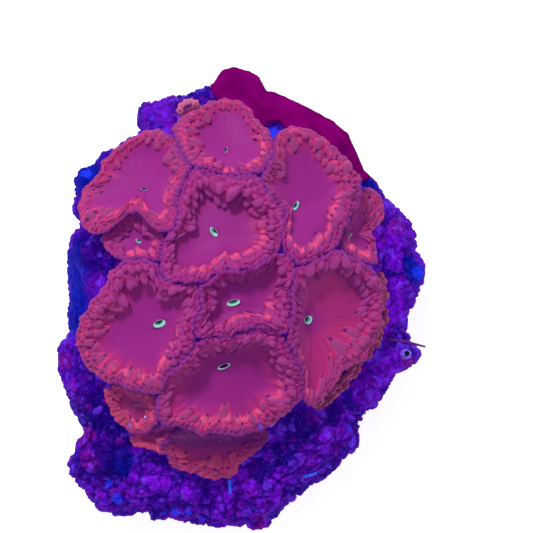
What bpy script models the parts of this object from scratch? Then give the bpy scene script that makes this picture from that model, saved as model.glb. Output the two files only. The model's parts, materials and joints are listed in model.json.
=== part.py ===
"""A blastomussa coral: fleshy saucer polyps crowded over a dome on a loose piece of reef rock.

Lengths are millimetres until a mesh is made. X and Y lie on the table, +Z is up, and the origin is under
the middle of the piece, on the flat face that it rests on. Run with blender --background --python part.py.
"""
import math

import bmesh
import bpy
import numpy as np
from mathutils import Vector, noise

MM = 0.001

# The frame's origin, in the drawing's own coordinates
MIDDLE_X = -0.73
MIDDLE_Y = 2.91

# The dome that the rims of the polyps lie on
DOME_X = -9
DOME_Y = 6
DOME_HALF_X = 55
DOME_HALF_Y = 66
DOME_TOP = 74
DOME_DROP = 26
WALL = 13           # from the rock under the colony up to the rims

# Clearances
GAP = 0.45          # flesh to rock
BED_HOLLOW = 0.35   # the rock lies this much lower still, for the flat facets of the feet
SOLE_ARCH = 0.7     # and the middle of each foot is this much higher
SEAM = 0.55         # polyp to polyp

# The frill of a rim: every second point is a furrow between two vesicles
FURROW_IN = 0.8
FURROW_DOWN = 1.3
FRILL_POINTS = 44
SMALL_FRILL_POINTS = 28
FOOT_SHARE = 0.82
BELLY_SHARE = 0.93
CREST_IN = 2.4
SLOPE_IN = 6.0

# The rock
ROCK_X = -2
ROCK_Y = 0
ROCK_SIDES = 64
ROCK_SPREAD = 1.038  # the outline was read at the rims' level, and the rock lies lower
WAIST_Z = 19
SHELF_Z = 31         # the bare ledge round the colony is at least this high at its foot
TOP_SHARES = (0.18, 0.38, 0.55, 0.68, 0.77, 0.83, 0.88, 0.92, 0.955, 0.983)
UNDER_RINGS = ((0.985, 12.5), (0.95, 6), (0.90, 1.6), (0.86, 0))
LUMP_HEIGHT = 7
BARE_FROM = 3       # lumps begin this far out from the rims
BARE_TO = 9
UNDER_WOBBLE = 0.06

ROCK_OUTLINE = [
    (-5.7, 78.5), (1.4, 78.2), (5.4, 75.9), (8.9, 71.9), (14.5, 68.1), (22.6, 63.6), (29.7, 60.3), (35.2, 56.2),
    (37.8, 52.2), (40.3, 45.6), (46.8, 37.5), (49.9, 32.5), (54.9, 26.9), (58, 21.4), (58.5, 16.3), (61.5, 10.2),
    (61, 7.2), (58.5, 4.2), (57, 0), (54.9, -4.9), (55.9, -9), (59, -15), (59.5, -18.1), (57, -20.1),
    (51.4, -22.3), (48.9, -28.2), (45.3, -34.7), (40.8, -37.3), (39.8, -42.3), (38.8, -47.4), (36.7, -50.9),
    (32.7, -53.4), (30.2, -57.5), (20.6, -63.5), (14, -69.6), (7.4, -74.1), (4, -77.4), (-0.7, -74.6),
    (-10.8, -74.6), (-20.9, -71.8), (-29.5, -73.6), (-32, -70.3), (-39.1, -71.9), (-47.7, -70.1), (-54.2, -63.5),
    (-58.8, -56.5), (-59, -53.4), (-55, -44.3), (-55, -40.3), (-57.5, -33.2), (-61.3, -24.1), (-62.3, -15),
    (-58.3, -9), (-58.8, -4.9), (-58.3, 5.2), (-59.3, 12.3), (-58.3, 20.4), (-55.2, 25.9), (-57.8, 31),
    (-57.3, 36.5), (-56.2, 42.1), (-54.2, 45.6), (-47.2, 50.7), (-40.1, 53.9), (-36, 57.2), (-35, 65.8),
    (-29.5, 67.9), (-18.9, 69.7), (-13.8, 71.4), (-7.7, 75.9),
]

# The polyps. Each has the middle of its rim, its mouth with half sizes and turn in degrees, how far its rim
# sits below the dome, how deep its saucer is, and its outline in plan. Outlines that overlap are parted by
# seams in share_ground.
POLYPS = {
    "polyp_top": dict(
        centre=(-6, 55), mouth=(-5.7, 51.2), lips=(0.8, 1.4), turn=0, sunk=0, depth=7,
        outline=[(-6.9, 68.2), (0, 66.8), (2, 64.8), (4, 61.5), (6.5, 58.8), (10.3, 55.1), (11, 51.7),
                 (10.8, 48.7), (8.4, 46.5), (5.8, 42.3), (3, 42.6), (-2, 41.4), (-10, 43.1), (-16.7, 45.2),
                 (-19.3, 47.6), (-21.8, 51.5), (-22.8, 55), (-23, 58.5), (-21, 61.8), (-15.5, 63.9),
                 (-12.2, 67.1)]),
    "polyp_upper_left": dict(
        centre=(-37, 40), mouth=(-33.1, 38), lips=(1.6, 0.8), turn=5, sunk=0, depth=7,
        outline=[(-30, 57.7), (-25, 56), (-22, 53.5), (-19.2, 48), (-16.4, 45.7), (-19.2, 40), (-21.7, 36),
                 (-21.2, 29), (-22, 24.6), (-26, 22.9), (-30, 24.2), (-32.5, 28.3), (-35.2, 31), (-40, 29),
                 (-43.5, 24.8), (-48, 22.6), (-52, 24.5), (-55.4, 31.5), (-54.5, 37), (-50, 41.6), (-47.3, 43),
                 (-47.6, 46), (-43.4, 50.2), (-36.7, 55.5)]),
    "polyp_upper_right": dict(
        centre=(22, 37), mouth=(17.6, 32.5), lips=(1.7, 1.0), turn=60, sunk=0, depth=7.5,
        outline=[(11.5, 56.1), (13.5, 58), (16.5, 59.1), (20, 58.9), (26.3, 55.7), (31.1, 51.6), (35.6, 47.1),
                 (39.4, 41.9), (39.9, 36.7), (38.1, 30.7), (34.7, 25.5), (32.4, 19.5), (29.3, 17.6),
                 (24.4, 13.9), (21, 12.3), (18.1, 12.4), (15.7, 14.5), (12.8, 19), (13.3, 25), (14, 30.4),
                 (10.3, 34.2), (7.3, 38.7), (5.5, 42), (6.9, 45), (10.6, 50.2), (10.4, 53.5)]),
    "polyp_centre": dict(
        centre=(-6, 26), mouth=(-9.5, 23.7), lips=(1.8, 1.0), turn=-55, sunk=0, depth=7.5,
        outline=[(-17, 45.8), (-10, 43.8), (-2, 42.1), (3, 43.2), (6, 42.2), (9, 37.6), (12.3, 33.7),
                 (14.5, 30.6), (13.9, 25), (13.2, 19.4), (10.5, 15.2), (6.5, 13), (0, 10.7), (-6, 11.5),
                 (-9.5, 9.2), (-13, 7.2), (-20, 7), (-26.2, 7.5), (-28, 11.5), (-27.5, 16), (-26.8, 21),
                 (-22.2, 24.1), (-21.8, 29), (-22.6, 33.4), (-19.7, 39.8)]),
    "polyp_left": dict(
        centre=(-34, -8), mouth=(-27.7, -6.7), lips=(2.0, 1.3), turn=20, sunk=0, depth=8,
        outline=[(-44.4, 10.3), (-39, 14.2), (-31.7, 14.7), (-28.3, 13.6), (-26.2, 8), (-20, 7.8), (-14, 7.1),
                 (-13.4, 2), (-13.3, -1.7), (-16.8, -6.9), (-16, -9.2), (-15, -13.7), (-19.8, -19.2),
                 (-24.4, -23.6), (-25.9, -28), (-30, -30.4), (-36.9, -29.7), (-41, -27.4), (-47, -25.3),
                 (-53, -20.4), (-55.4, -14.4), (-55.2, -10.7), (-53.7, -6), (-51.1, -0.2), (-46.6, 2.8),
                 (-44.7, 7.3)]),
    "polyp_middle": dict(
        centre=(1.5, 1), mouth=(-3.1, 0.25), lips=(2.2, 1.1), turn=12, sunk=0, depth=7,
        outline=[(-14.1, 6.7), (-11, 8.3), (-8.8, 10.6), (-6.5, 12), (0, 11.1), (6.5, 13.6), (12, 17.1),
                 (15, 16.9), (17.8, 12.3), (17.6, 8), (16.3, 3), (16.5, -2.4), (15, -8.4), (14.5, -11),
                 (10, -9), (5, -8.3), (0, -9.3), (-4, -10.8), (-8, -11.3), (-12, -11.3), (-15.4, -12.7),
                 (-17.2, -6.9), (-15, -4.3), (-14, 2)]),
    "polyp_right": dict(
        centre=(30, -7), mouth=(21.6, -5.6), lips=(1.5, 1.2), turn=70, sunk=0, depth=8,
        outline=[(17.4, 12.3), (21, 12.9), (26.6, 16.3), (32.2, 18.7), (34.9, 16.8), (37, 14.5), (41.6, 12.8),
                 (44, 10.5), (46.5, 5.8), (46.6, 0.5), (45.8, -5.8), (44.6, -11.4), (42, -16.6),
                 (39.7, -19.3), (34.5, -20.8), (32.6, -23), (31.1, -26.4), (29.3, -29), (27, -32.5),
                 (23.5, -34.1), (18.8, -33.4), (20.1, -27), (18.8, -20.7), (17, -17.1), (14.2, -10.7),
                 (15.8, -5.4), (15.8, 2), (17.3, 8)]),
    "polyp_lower": dict(
        centre=(-4, -26), mouth=(-6.3, -20.9), lips=(2.2, 0.9), turn=22, sunk=0, depth=7,
        outline=[(-15.2, -12.3), (-8, -10.7), (0, -8.7), (5, -7.7), (10, -8.4), (14.6, -10.5), (17.4, -17.1),
                 (19.2, -20.7), (20.5, -26.9), (18.7, -33.6), (13.4, -36.2), (9.8, -40.7), (4.9, -42.6),
                 (-2.7, -44.3), (-6.8, -42.8), (-12.2, -44.1), (-18.4, -42.2), (-21, -40.8), (-27.4, -40.2),
                 (-28.5, -34.1), (-27.6, -30.1), (-25.5, -25.6), (-20.3, -18.9)]),
    "polyp_bottom": dict(
        centre=(-9, -51), mouth=(-9, -50.2), lips=(1.3, 0.7), turn=10, sunk=5.5, depth=4,
        outline=[(9.4, -43.2), (4.9, -42.6), (-2.7, -44), (-6.8, -42.6), (-12.2, -43.9), (-18.4, -42),
                 (-21.6, -42.6), (-25.2, -44.9), (-27.4, -48), (-26, -51), (-25.2, -53.9), (-22.9, -56.1),
                 (-16.2, -57.5), (-10.8, -59.5), (-4.5, -59.3), (-2.3, -57.5), (-1.4, -54.8), (0.9, -52.5),
                 (4, -49.8), (6.7, -47.6)]),
    "polyp_small_left": dict(
        centre=(-35.5, 21.5), mouth=(-34.8, 20.7), lips=(1.0, 0.7), turn=80, sunk=3.5, depth=4.5,
        outline=[(-35.2, 31.5), (-40, 29.3), (-43.4, 25.3), (-45.8, 23), (-46.8, 19.4), (-42.5, 16.3),
                 (-39.9, 14.5), (-35, 14.7), (-30.9, 14.8), (-28.3, 13.5), (-27, 15.1), (-26.2, 21.1),
                 (-25.3, 23.6), (-29, 24.3), (-31.1, 26.3), (-32.6, 28.7)]),
    "polyp_small_right": dict(
        centre=(39.6, 25.5), mouth=(35.8, 22.6), lips=(0.8, 0.6), turn=90, sunk=4.5, depth=4,
        outline=[(40, 40.4), (42, 38.2), (45.3, 36.7), (46.8, 33.3), (47.2, 29.9), (46.5, 26.9),
                 (43.5, 25.1), (42.5, 23), (44.6, 21.3), (45.7, 15.4), (44.6, 13.5), (39.7, 14.3),
                 (37, 14.3), (34.7, 16.2), (32.1, 17.8), (33.4, 23.2), (35.8, 27.7), (37.7, 30.7),
                 (39.5, 36.7)]),
    "polyp_small_lower_left": dict(
        centre=(-37, -36), mouth=(-35.8, -34.4), lips=(1.1, 0.6), turn=10, sunk=4.5, depth=4,
        outline=[(-42.2, -27.6), (-44.9, -28.5), (-46.3, -31.4), (-43.6, -36.4), (-39.1, -42.2),
                 (-36.4, -43.7), (-33.7, -44), (-29, -41), (-28, -36), (-29.8, -30), (-34.6, -29.3)]),
    "polyp_bottom_left": dict(
        centre=(-30, -45.7), mouth=(-30, -45.5), lips=(0.7, 0.5), turn=0, sunk=7, depth=2,
        outline=[(-38.2, -44.9), (-36.4, -43.4), (-33.7, -43.6), (-29.2, -40.9), (-24, -40.4), (-21.5, -42.5),
                 (-25, -45.2), (-27.2, -48.2), (-26.3, -51.2), (-28.3, -51.2), (-31, -48.9), (-37.1, -48.2)]),
}
SMALL_POLYPS = ("polyp_small_left", "polyp_small_right", "polyp_small_lower_left", "polyp_bottom_left")

# A dusky beaded fold under the right polyp's rim, by its outer line
FOLD_LINE = [
    (47.2, 9.6), (48.6, 5), (49.2, 0), (49.8, -5.6), (48.4, -10.6), (46.4, -14.6), (43.6, -18.2), (40.2, -21.2),
    (38, -25.2), (35.2, -28.8), (32.2, -31.6), (29.4, -34), (26, -36.6), (22.4, -38),
]
FOLD_HEIGHT = 5.2
FOLD_REACH_IN = 0.99

BUD_AT = (-18.6, 65.7)
BUD_HALF = (3.1, 1.8)
BUD_TURN = 25
BUD_HEIGHT = 7.5
BUD_POINTS = 14

# The crimson crust, by the rock's own sides that it covers, from the polyps' rims down past the waist
CRUST_FIRST_SIDE = 8
CRUST_LAST_SIDE = 17
CRUST_LAST_RING = 11
CRUST_CLEAR = 1.2
CRUST_GAP = 0.4
CRUST_THICK = 2.6
CRUST_EDGE = 0.9

TABLE_STEPS = 360

FLESH = dict(colour=(0.42, 0.04, 0.22), rough=0.42)
DUSKY = dict(colour=(0.24, 0.04, 0.17), rough=0.5)
CRIMSON = dict(colour=(0.22, 0.0, 0.10), rough=0.45)
REEF = dict(colour=(0.07, 0.03, 0.36), rough=0.9)


def clear_scene():
    for old in list(bpy.data.objects):
        bpy.data.objects.remove(old, do_unlink=True)


def make_material(name, colour, rough):
    material = bpy.data.materials.new(name)
    material.use_nodes = True
    shader = material.node_tree.nodes["Principled BSDF"]
    shader.inputs["Base Color"].default_value = (*colour, 1)
    shader.inputs["Roughness"].default_value = rough
    shader.inputs["Metallic"].default_value = 0
    material.diffuse_color = (*colour, 1)
    return material


def make_object(name, bm, material):
    """Turn a millimetre mesh into a named object in metres, about the frame's origin."""
    for vert in bm.verts:
        vert.co = Vector(((vert.co.x - MIDDLE_X) * MM, (vert.co.y - MIDDLE_Y) * MM, vert.co.z * MM))
    bmesh.ops.triangulate(bm, faces=bm.faces[:])
    mesh = bpy.data.meshes.new(name)
    bm.to_mesh(mesh)
    bm.free()
    mesh.materials.append(material)
    mesh.shade_smooth()
    piece = bpy.data.objects.new(name, mesh)
    bpy.context.scene.collection.objects.link(piece)
    return piece


def bridge(bm, lower, upper):
    count = len(lower)
    for i in range(count):
        j = (i + 1) % count
        bm.faces.new((lower[i], lower[j], upper[j], upper[i]))


def fan(bm, ring, hub):
    count = len(ring)
    for i in range(count):
        bm.faces.new((ring[i], ring[(i + 1) % count], hub))


def loft(rings, first_hub, last_hub):
    """A closed body up through rings of points, shut by a fan to a hub at each end."""
    bm = bmesh.new()
    loops = [[bm.verts.new(point) for point in ring] for ring in rings]
    for lower, upper in zip(loops, loops[1:]):
        bridge(bm, lower, upper)
    fan(bm, loops[0][::-1], bm.verts.new(first_hub))
    fan(bm, loops[-1], bm.verts.new(last_hub))
    return bm


def rim_height(x, y):
    """The dome that the rims lie on."""
    across = (x - DOME_X) / DOME_HALF_X
    along = (y - DOME_Y) / DOME_HALF_Y
    return DOME_TOP - DOME_DROP * (across * across + along * along)


def bed_height(x, y):
    """The smooth top of the rock under the colony."""
    return rim_height(x, y) - WALL


def smoothstep(low, high, value):
    t = min(max((value - low) / (high - low), 0), 1)
    return t * t * (3 - 2 * t)


def ripple(x, y, size, seed):
    return noise.noise(Vector((x / size, y / size, seed)))


def toward(start, end, share):
    return (start[0] + (end[0] - start[0]) * share, start[1] + (end[1] - start[1]) * share)


def ray_reach(outline, centre, angle):
    """The farthest crossing of an outline by the ray from a centre, or 0."""
    cos, sin = math.cos(angle), math.sin(angle)
    best = 0
    for a, b in zip(outline, outline[1:] + outline[:1]):
        ax, ay = a[0] - centre[0], a[1] - centre[1]
        ex, ey = b[0] - a[0], b[1] - a[1]
        cross = cos * ey - sin * ex
        if abs(cross) < 1e-9:
            continue
        along = (ax * ey - ay * ex) / cross
        share = (ax * sin - ay * cos) / cross
        if along > best and 0 <= share <= 1:
            best = along
    return best


def reach_table(outline, centre, soften):
    """Reaches all round a centre, softened over neighbouring degrees."""
    raw = [ray_reach(outline, centre, math.tau * i / TABLE_STEPS) for i in range(TABLE_STEPS)]
    span = range(-soften, soften + 1)
    return [sum(raw[(i + k) % TABLE_STEPS] for k in span) / len(span) for i in range(TABLE_STEPS)]


def look_up(table, angle):
    place = (angle / math.tau * TABLE_STEPS) % TABLE_STEPS
    low = int(place)
    rest = place - low
    return table[low % TABLE_STEPS] * (1 - rest) + table[(low + 1) % TABLE_STEPS] * rest


def owns(point, name, share, tables):
    """Whether a point is a polyp's own, with half a seam to spare from every neighbour."""
    own = look_up(tables[name], math.atan2(point[1] - POLYPS[name]["centre"][1],
                                           point[0] - POLYPS[name]["centre"][0]))
    for other, polyp in POLYPS.items():
        if other == name:
            continue
        dx, dy = point[0] - polyp["centre"][0], point[1] - polyp["centre"][1]
        other_reach = look_up(tables[other], math.atan2(dy, dx))
        other_share = math.hypot(dx, dy) / other_reach
        if other_share - share < SEAM / 2 * (1 / own + 1 / other_reach):
            return False
    return True


def share_ground():
    """Each polyp's outline after neighbours have parted the ground between them."""
    step = 0.1
    tables = {name: reach_table(p["outline"], p["centre"], 3) for name, p in POLYPS.items()}
    outlines = {}
    for name, polyp in POLYPS.items():
        cx, cy = polyp["centre"]
        outline = []
        for i in range(TABLE_STEPS):
            angle = math.tau * i / TABLE_STEPS
            full = tables[name][i]
            reach = full
            point = (cx + reach * math.cos(angle), cy + reach * math.sin(angle))
            while reach > 2 and not owns(point, name, reach / full, tables):
                reach -= step
                point = (cx + reach * math.cos(angle), cy + reach * math.sin(angle))
            outline.append(point)
        outlines[name] = outline
    return outlines


def even_points(outline, count):
    """Points spaced evenly along a closed outline."""
    closed = outline + outline[:1]
    lengths = [math.dist(a, b) for a, b in zip(closed, closed[1:])]
    total = sum(lengths)
    points = []
    piece, gone = 0, 0.0
    for i in range(count):
        target = total * i / count
        while gone + lengths[piece] < target:
            gone += lengths[piece]
            piece += 1
        points.append(toward(closed[piece], closed[piece + 1], (target - gone) / lengths[piece]))
    return points


def lip_point(polyp, rim_point):
    """The point of the oval mouth's lip on the way out to a rim point."""
    mx, my = polyp["mouth"]
    half_long, half_short = polyp["lips"]
    turn = math.radians(polyp["turn"])
    angle = math.atan2(rim_point[1] - my, rim_point[0] - mx) - turn
    reach = half_long * half_short / math.hypot(half_short * math.cos(angle), half_long * math.sin(angle))
    return (mx + reach * math.cos(angle + turn), my + reach * math.sin(angle + turn))


def build_polyp(name, outline, material):
    """A frilled saucer on a tapering foot: foot, belly, edge, crest, slope, disc, lip, mouth."""
    polyp = POLYPS[name]
    small = name in SMALL_POLYPS
    points = even_points(outline, SMALL_FRILL_POINTS if small else FRILL_POINTS)
    centre, mouth = polyp["centre"], polyp["mouth"]
    sunk, depth = polyp["sunk"], polyp["depth"]
    wall = WALL - sunk
    frill = 0.6 if small else 1.0
    foot, belly, edge, crest, slope, disc, lip = [], [], [], [], [], [], []
    for i, rim in enumerate(points):
        furrow = frill * (i % 2)
        to_mouth = math.dist(rim, mouth)
        edge_at = toward(rim, mouth, FURROW_IN * furrow / to_mouth)
        crest_at = toward(rim, mouth, min(CREST_IN / to_mouth, 0.3))
        slope_at = toward(rim, mouth, min(SLOPE_IN / to_mouth, 0.52))
        disc_at = toward(rim, mouth, 0.7)
        foot_at = toward(centre, rim, FOOT_SHARE)
        belly_at = toward(centre, rim, BELLY_SHARE)
        lip_at = lip_point(polyp, rim)
        top = rim_height(*rim) - sunk + 1.2 * ripple(*rim, 9, 0.5)
        foot.append((*foot_at, bed_height(*foot_at) + GAP))
        belly.append((*belly_at, bed_height(*belly_at) + 0.45 * wall))
        edge.append((*edge_at, top - min(3.2, 0.3 * wall) - 0.4 * furrow))
        crest.append((*crest_at, rim_height(*crest_at) - rim_height(*rim) + top - FURROW_DOWN * furrow))
        slope.append((*slope_at, rim_height(*slope_at) - sunk - 0.5 * depth - 0.3 * furrow))
        disc.append((*disc_at, rim_height(*disc_at) - sunk - 0.93 * depth))
        lip.append((*lip_at, rim_height(*lip_at) - sunk - depth + 0.5))
    floor = (*centre, bed_height(*centre) + GAP + SOLE_ARCH)
    throat = (*mouth, rim_height(*mouth) - sunk - depth - 0.9)
    return make_object(name, loft([foot, belly, edge, crest, slope, disc, lip], floor, throat), material)


def colony_reaches(outlines):
    """How far the colony reaches from the rock's middle, all round."""
    centre = (ROCK_X, ROCK_Y)
    return [max(ray_reach(outline, centre, math.tau * i / TABLE_STEPS) for outline in outlines.values())
            for i in range(TABLE_STEPS)]


def rock_place(angle, reach):
    return ROCK_X + reach * math.cos(angle), ROCK_Y + reach * math.sin(angle)


def clear_of_colony(x, y, outlines):
    """The distance from a place to the nearest rim, fold or bud, or 0 under a polyp."""
    gaps = np.asarray([*FOLD_LINE, BUD_AT]) - (x, y)
    nearest = float(np.sqrt((gaps * gaps).sum(axis=1)).min())
    for name, outline in outlines.items():
        cx, cy = POLYPS[name]["centre"]
        turn = math.atan2(y - cy, x - cx) / math.tau
        edge = outline[round(turn * TABLE_STEPS) % TABLE_STEPS]
        if math.dist((x, y), (cx, cy)) <= math.dist(edge, (cx, cy)):
            return 0
        gaps = np.asarray(outline) - (x, y)
        nearest = min(nearest, float(np.sqrt((gaps * gaps).sum(axis=1)).min()))
    return nearest


def top_height(angle, reach, colony_edge, full, outlines):
    """The rock's top: the smooth bed under the colony, then a lumpy ledge that rounds over to the waist."""
    x, y = rock_place(angle, reach)
    bed = bed_height(x, y) - BED_HOLLOW
    bare = smoothstep(BARE_FROM, BARE_TO, clear_of_colony(x, y, outlines))
    if bare == 0:
        return bed
    foot = max(bed_height(*rock_place(angle, colony_edge)), SHELF_Z)
    out = min(max((reach - colony_edge) / (full - colony_edge), 0), 1)
    ledge = WAIST_Z + (foot - WAIST_Z) * math.sqrt(1 - out ** 2.6)
    lump = LUMP_HEIGHT * (ripple(x, y, 9, 3) + 0.6 * ripple(x, y, 5, 8))
    return bed + bare * (ledge + lump - bed)


def rock_rings(outlines):
    """Rings of the rock from the middle of its top, over the waist, to the edge of the flat face below."""
    spread = [(ROCK_X + (x - ROCK_X) * ROCK_SPREAD, ROCK_Y + (y - ROCK_Y) * ROCK_SPREAD)
              for x, y in ROCK_OUTLINE]
    silhouette = reach_table(spread, (ROCK_X, ROCK_Y), 2)
    colony = colony_reaches(outlines)
    angles = [math.tau * side / ROCK_SIDES for side in range(ROCK_SIDES)]
    rings = []
    for share in TOP_SHARES:
        ring = []
        for angle in angles:
            full = look_up(silhouette, angle)
            height = top_height(angle, share * full, look_up(colony, angle), full, outlines)
            ring.append((*rock_place(angle, share * full), height))
        rings.append(ring)
    waist = []
    for angle in angles:
        wave = 4 * ripple(math.cos(angle), math.sin(angle), 0.3, 5)
        waist.append((*rock_place(angle, look_up(silhouette, angle)), WAIST_Z + wave))
    rings.append(waist)
    for share, z in UNDER_RINGS:
        ring = []
        for angle in angles:
            x, y = rock_place(angle, share * look_up(silhouette, angle))
            tuck = share * (1 - UNDER_WOBBLE * abs(ripple(x, y, 7, z + 11)))
            ring.append((*rock_place(angle, tuck * look_up(silhouette, angle)), z))
        rings.append(ring)
    return rings


def build_rock(rings, material):
    top = (ROCK_X, ROCK_Y, bed_height(ROCK_X, ROCK_Y) - BED_HOLLOW)
    return make_object("rock", loft(rings[::-1], (ROCK_X, ROCK_Y, 0), top), material)


def ring_normal(rings, ring, side):
    """The rock's outward direction at one of its own points."""
    count = len(rings[0])
    left = Vector(rings[ring][(side - 1) % count])
    right = Vector(rings[ring][(side + 1) % count])
    inner = Vector(rings[max(ring - 1, 0)][side])
    outer = Vector(rings[min(ring + 1, len(rings) - 1)][side])
    return (outer - inner).cross(right - left).normalized()


def crust_cells(rings, outlines):
    """The rock's own facets that the crust covers, as corners (side, level)."""
    colony = colony_reaches(outlines)

    def bare(side, level):
        x, y, _ = rings[level][side]
        edge = look_up(colony, math.atan2(y - ROCK_Y, x - ROCK_X))
        return math.hypot(x - ROCK_X, y - ROCK_Y) > edge + CRUST_CLEAR

    cells = []
    for side in range(CRUST_FIRST_SIDE, CRUST_LAST_SIDE):
        for level in range(CRUST_LAST_RING):
            corners = ((side, level), (side, level + 1), (side + 1, level + 1), (side + 1, level))
            if all(bare(*corner) for corner in corners):
                cells.append(corners)
    return cells


def build_crust(rings, outlines, material):
    """A sheet that follows the rock's own points, thin at its edge."""
    cells = crust_cells(rings, outlines)
    sides_of = [pair for cell in cells for pair in zip(cell, cell[1:] + cell[:1])]
    border = [(a, b) for a, b in sides_of if (b, a) not in sides_of]
    rim = {a for a, _ in border}
    bm = bmesh.new()
    under, over = {}, {}
    for corner in sorted({corner for cell in cells for corner in cell}):
        side, level = corner
        point = Vector(rings[level][side])
        normal = ring_normal(rings, level, side)
        thick = CRUST_EDGE if corner in rim else CRUST_THICK
        under[corner] = bm.verts.new(point + normal * CRUST_GAP)
        over[corner] = bm.verts.new(point + normal * (CRUST_GAP + thick))
    for cell in cells:
        bm.faces.new([over[c] for c in cell])
        bm.faces.new([under[c] for c in reversed(cell)])
    for a, b in border:
        bm.faces.new((under[a], under[b], over[b], over[a]))
    return make_object("crimson_crust", bm, material)


def build_fold(outline, material):
    """The beaded lower fold, a strip of five-sided sections along its outer line."""
    centre = POLYPS["polyp_right"]["centre"]
    bm = bmesh.new()
    sections = []
    for i, outer in enumerate(FOLD_LINE):
        bead = 1.1 * (i % 2)
        reach = ray_reach(outline, centre, math.atan2(outer[1] - centre[1], outer[0] - centre[0]))
        inner = toward(centre, outer, FOLD_REACH_IN * reach / math.dist(centre, outer))
        length = math.dist(inner, outer)
        out_at = toward(outer, inner, bead / length)
        shoulder = toward(outer, inner, (bead + 1.1) / length)
        section = [
            (*inner, bed_height(*inner) + GAP),
            (*shoulder, bed_height(*shoulder) + GAP),
            (*out_at, bed_height(*out_at) + 0.5 * FOLD_HEIGHT),
            (*shoulder, bed_height(*shoulder) + FOLD_HEIGHT - 0.6 * bead),
            (*inner, bed_height(*inner) + FOLD_HEIGHT - 1),
        ]
        sections.append([bm.verts.new(point) for point in section])
    for first, second in zip(sections, sections[1:]):
        bridge(bm, first, second)
    bm.faces.new(sections[0][::-1])
    bm.faces.new(sections[-1])
    return make_object("polyp_right_fold", bm, material)


def build_bud(material):
    """A small frilled knob."""
    turn = math.radians(BUD_TURN)
    rings = []
    for share, height, frill in ((0.6, 0, 0), (0.95, 0.35, 0), (1, 0.7, 1), (0.62, 1, 1)):
        ring = []
        for i in range(BUD_POINTS):
            angle = math.tau * i / BUD_POINTS
            size = share * (1 - 0.12 * frill * (i % 2))
            u, v = size * BUD_HALF[0] * math.cos(angle), size * BUD_HALF[1] * math.sin(angle)
            x = BUD_AT[0] + u * math.cos(turn) - v * math.sin(turn)
            y = BUD_AT[1] + u * math.sin(turn) + v * math.cos(turn)
            ring.append((x, y, bed_height(*BUD_AT) + 0.9 + height * BUD_HEIGHT))
        rings.append(ring)
    low = (*BUD_AT, bed_height(*BUD_AT) + 0.9)
    high = (*BUD_AT, bed_height(*BUD_AT) + 0.9 + 0.9 * BUD_HEIGHT)
    return make_object("polyp_bud", loft(rings, low, high), material)


def main():
    clear_scene()
    flesh = make_material("flesh", **FLESH)
    dusky = make_material("dusky_flesh", **DUSKY)
    crimson = make_material("crimson_crust", **CRIMSON)
    reef = make_material("reef_rock", **REEF)
    outlines = share_ground()
    rings = rock_rings(outlines)
    build_rock(rings, reef)
    build_crust(rings, outlines, crimson)
    for name in POLYPS:
        build_polyp(name, outlines[name], flesh)
    build_fold(outlines["polyp_right"], dusky)
    build_bud(flesh)


main()
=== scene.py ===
"""Looks of a blastomussa coral: fleshy saucer polyps with mint mouths, crowded over a violet reef rock.

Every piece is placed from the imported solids. Lengths are millimetres until a mesh is written. Places that
were read off the colony are in the drawing's own coordinates, and SHIFT moves them into the frame. Colours
are as the eye names them, from 0 to 255.
"""
import json
import math

import bmesh
import bpy
import numpy as np
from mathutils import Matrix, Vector
from mathutils.bvhtree import BVHTree

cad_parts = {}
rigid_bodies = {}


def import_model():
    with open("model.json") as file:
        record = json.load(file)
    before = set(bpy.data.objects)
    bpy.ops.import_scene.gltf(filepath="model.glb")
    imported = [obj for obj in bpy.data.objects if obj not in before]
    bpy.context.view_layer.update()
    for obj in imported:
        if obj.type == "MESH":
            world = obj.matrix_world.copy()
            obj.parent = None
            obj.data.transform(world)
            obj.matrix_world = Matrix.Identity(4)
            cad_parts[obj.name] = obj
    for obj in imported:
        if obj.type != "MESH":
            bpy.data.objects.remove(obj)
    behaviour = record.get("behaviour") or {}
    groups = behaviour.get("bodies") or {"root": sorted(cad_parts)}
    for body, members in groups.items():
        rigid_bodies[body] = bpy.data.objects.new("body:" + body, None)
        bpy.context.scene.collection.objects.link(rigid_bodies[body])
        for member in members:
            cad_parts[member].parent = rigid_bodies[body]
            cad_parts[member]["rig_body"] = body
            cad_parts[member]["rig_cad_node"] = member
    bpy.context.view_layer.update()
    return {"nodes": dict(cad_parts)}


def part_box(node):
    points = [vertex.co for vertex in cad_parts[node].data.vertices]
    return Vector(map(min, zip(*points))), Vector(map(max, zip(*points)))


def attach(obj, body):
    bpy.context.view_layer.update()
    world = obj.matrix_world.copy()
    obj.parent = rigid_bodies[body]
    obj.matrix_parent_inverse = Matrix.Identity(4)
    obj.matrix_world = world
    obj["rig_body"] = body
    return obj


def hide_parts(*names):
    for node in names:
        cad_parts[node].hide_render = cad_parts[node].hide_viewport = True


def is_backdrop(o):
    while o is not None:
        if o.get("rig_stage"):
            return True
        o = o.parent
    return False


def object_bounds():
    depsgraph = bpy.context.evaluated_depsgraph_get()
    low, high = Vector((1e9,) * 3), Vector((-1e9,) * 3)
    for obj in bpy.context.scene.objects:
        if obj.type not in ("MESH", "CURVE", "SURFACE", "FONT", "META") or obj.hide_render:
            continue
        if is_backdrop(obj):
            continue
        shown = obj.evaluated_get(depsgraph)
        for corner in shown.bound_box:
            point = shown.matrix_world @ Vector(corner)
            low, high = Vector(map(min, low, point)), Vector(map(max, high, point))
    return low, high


MM = 0.001
TAU = math.tau
SHIFT = np.array((0.73, -2.91))
BOX_CLEAR = 0.05
FAR_OFF = 9.0
LATTICE = 32
KNOB_LATTICE = 16
RIM_LATTICE = 96

# The dome that the rims lie on, as the solids have it
DOME_MIDDLE = np.array((-9.0, 6.0))
DOME_HALVES = np.array((55.0, 66.0))
DOME_TOP = 74.0
DOME_DROP = 26.0
WALL = 13.0

# The side of a rim that faces the key light, in plan
LIGHT_SIDE = np.array((0.39, -0.92))

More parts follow.
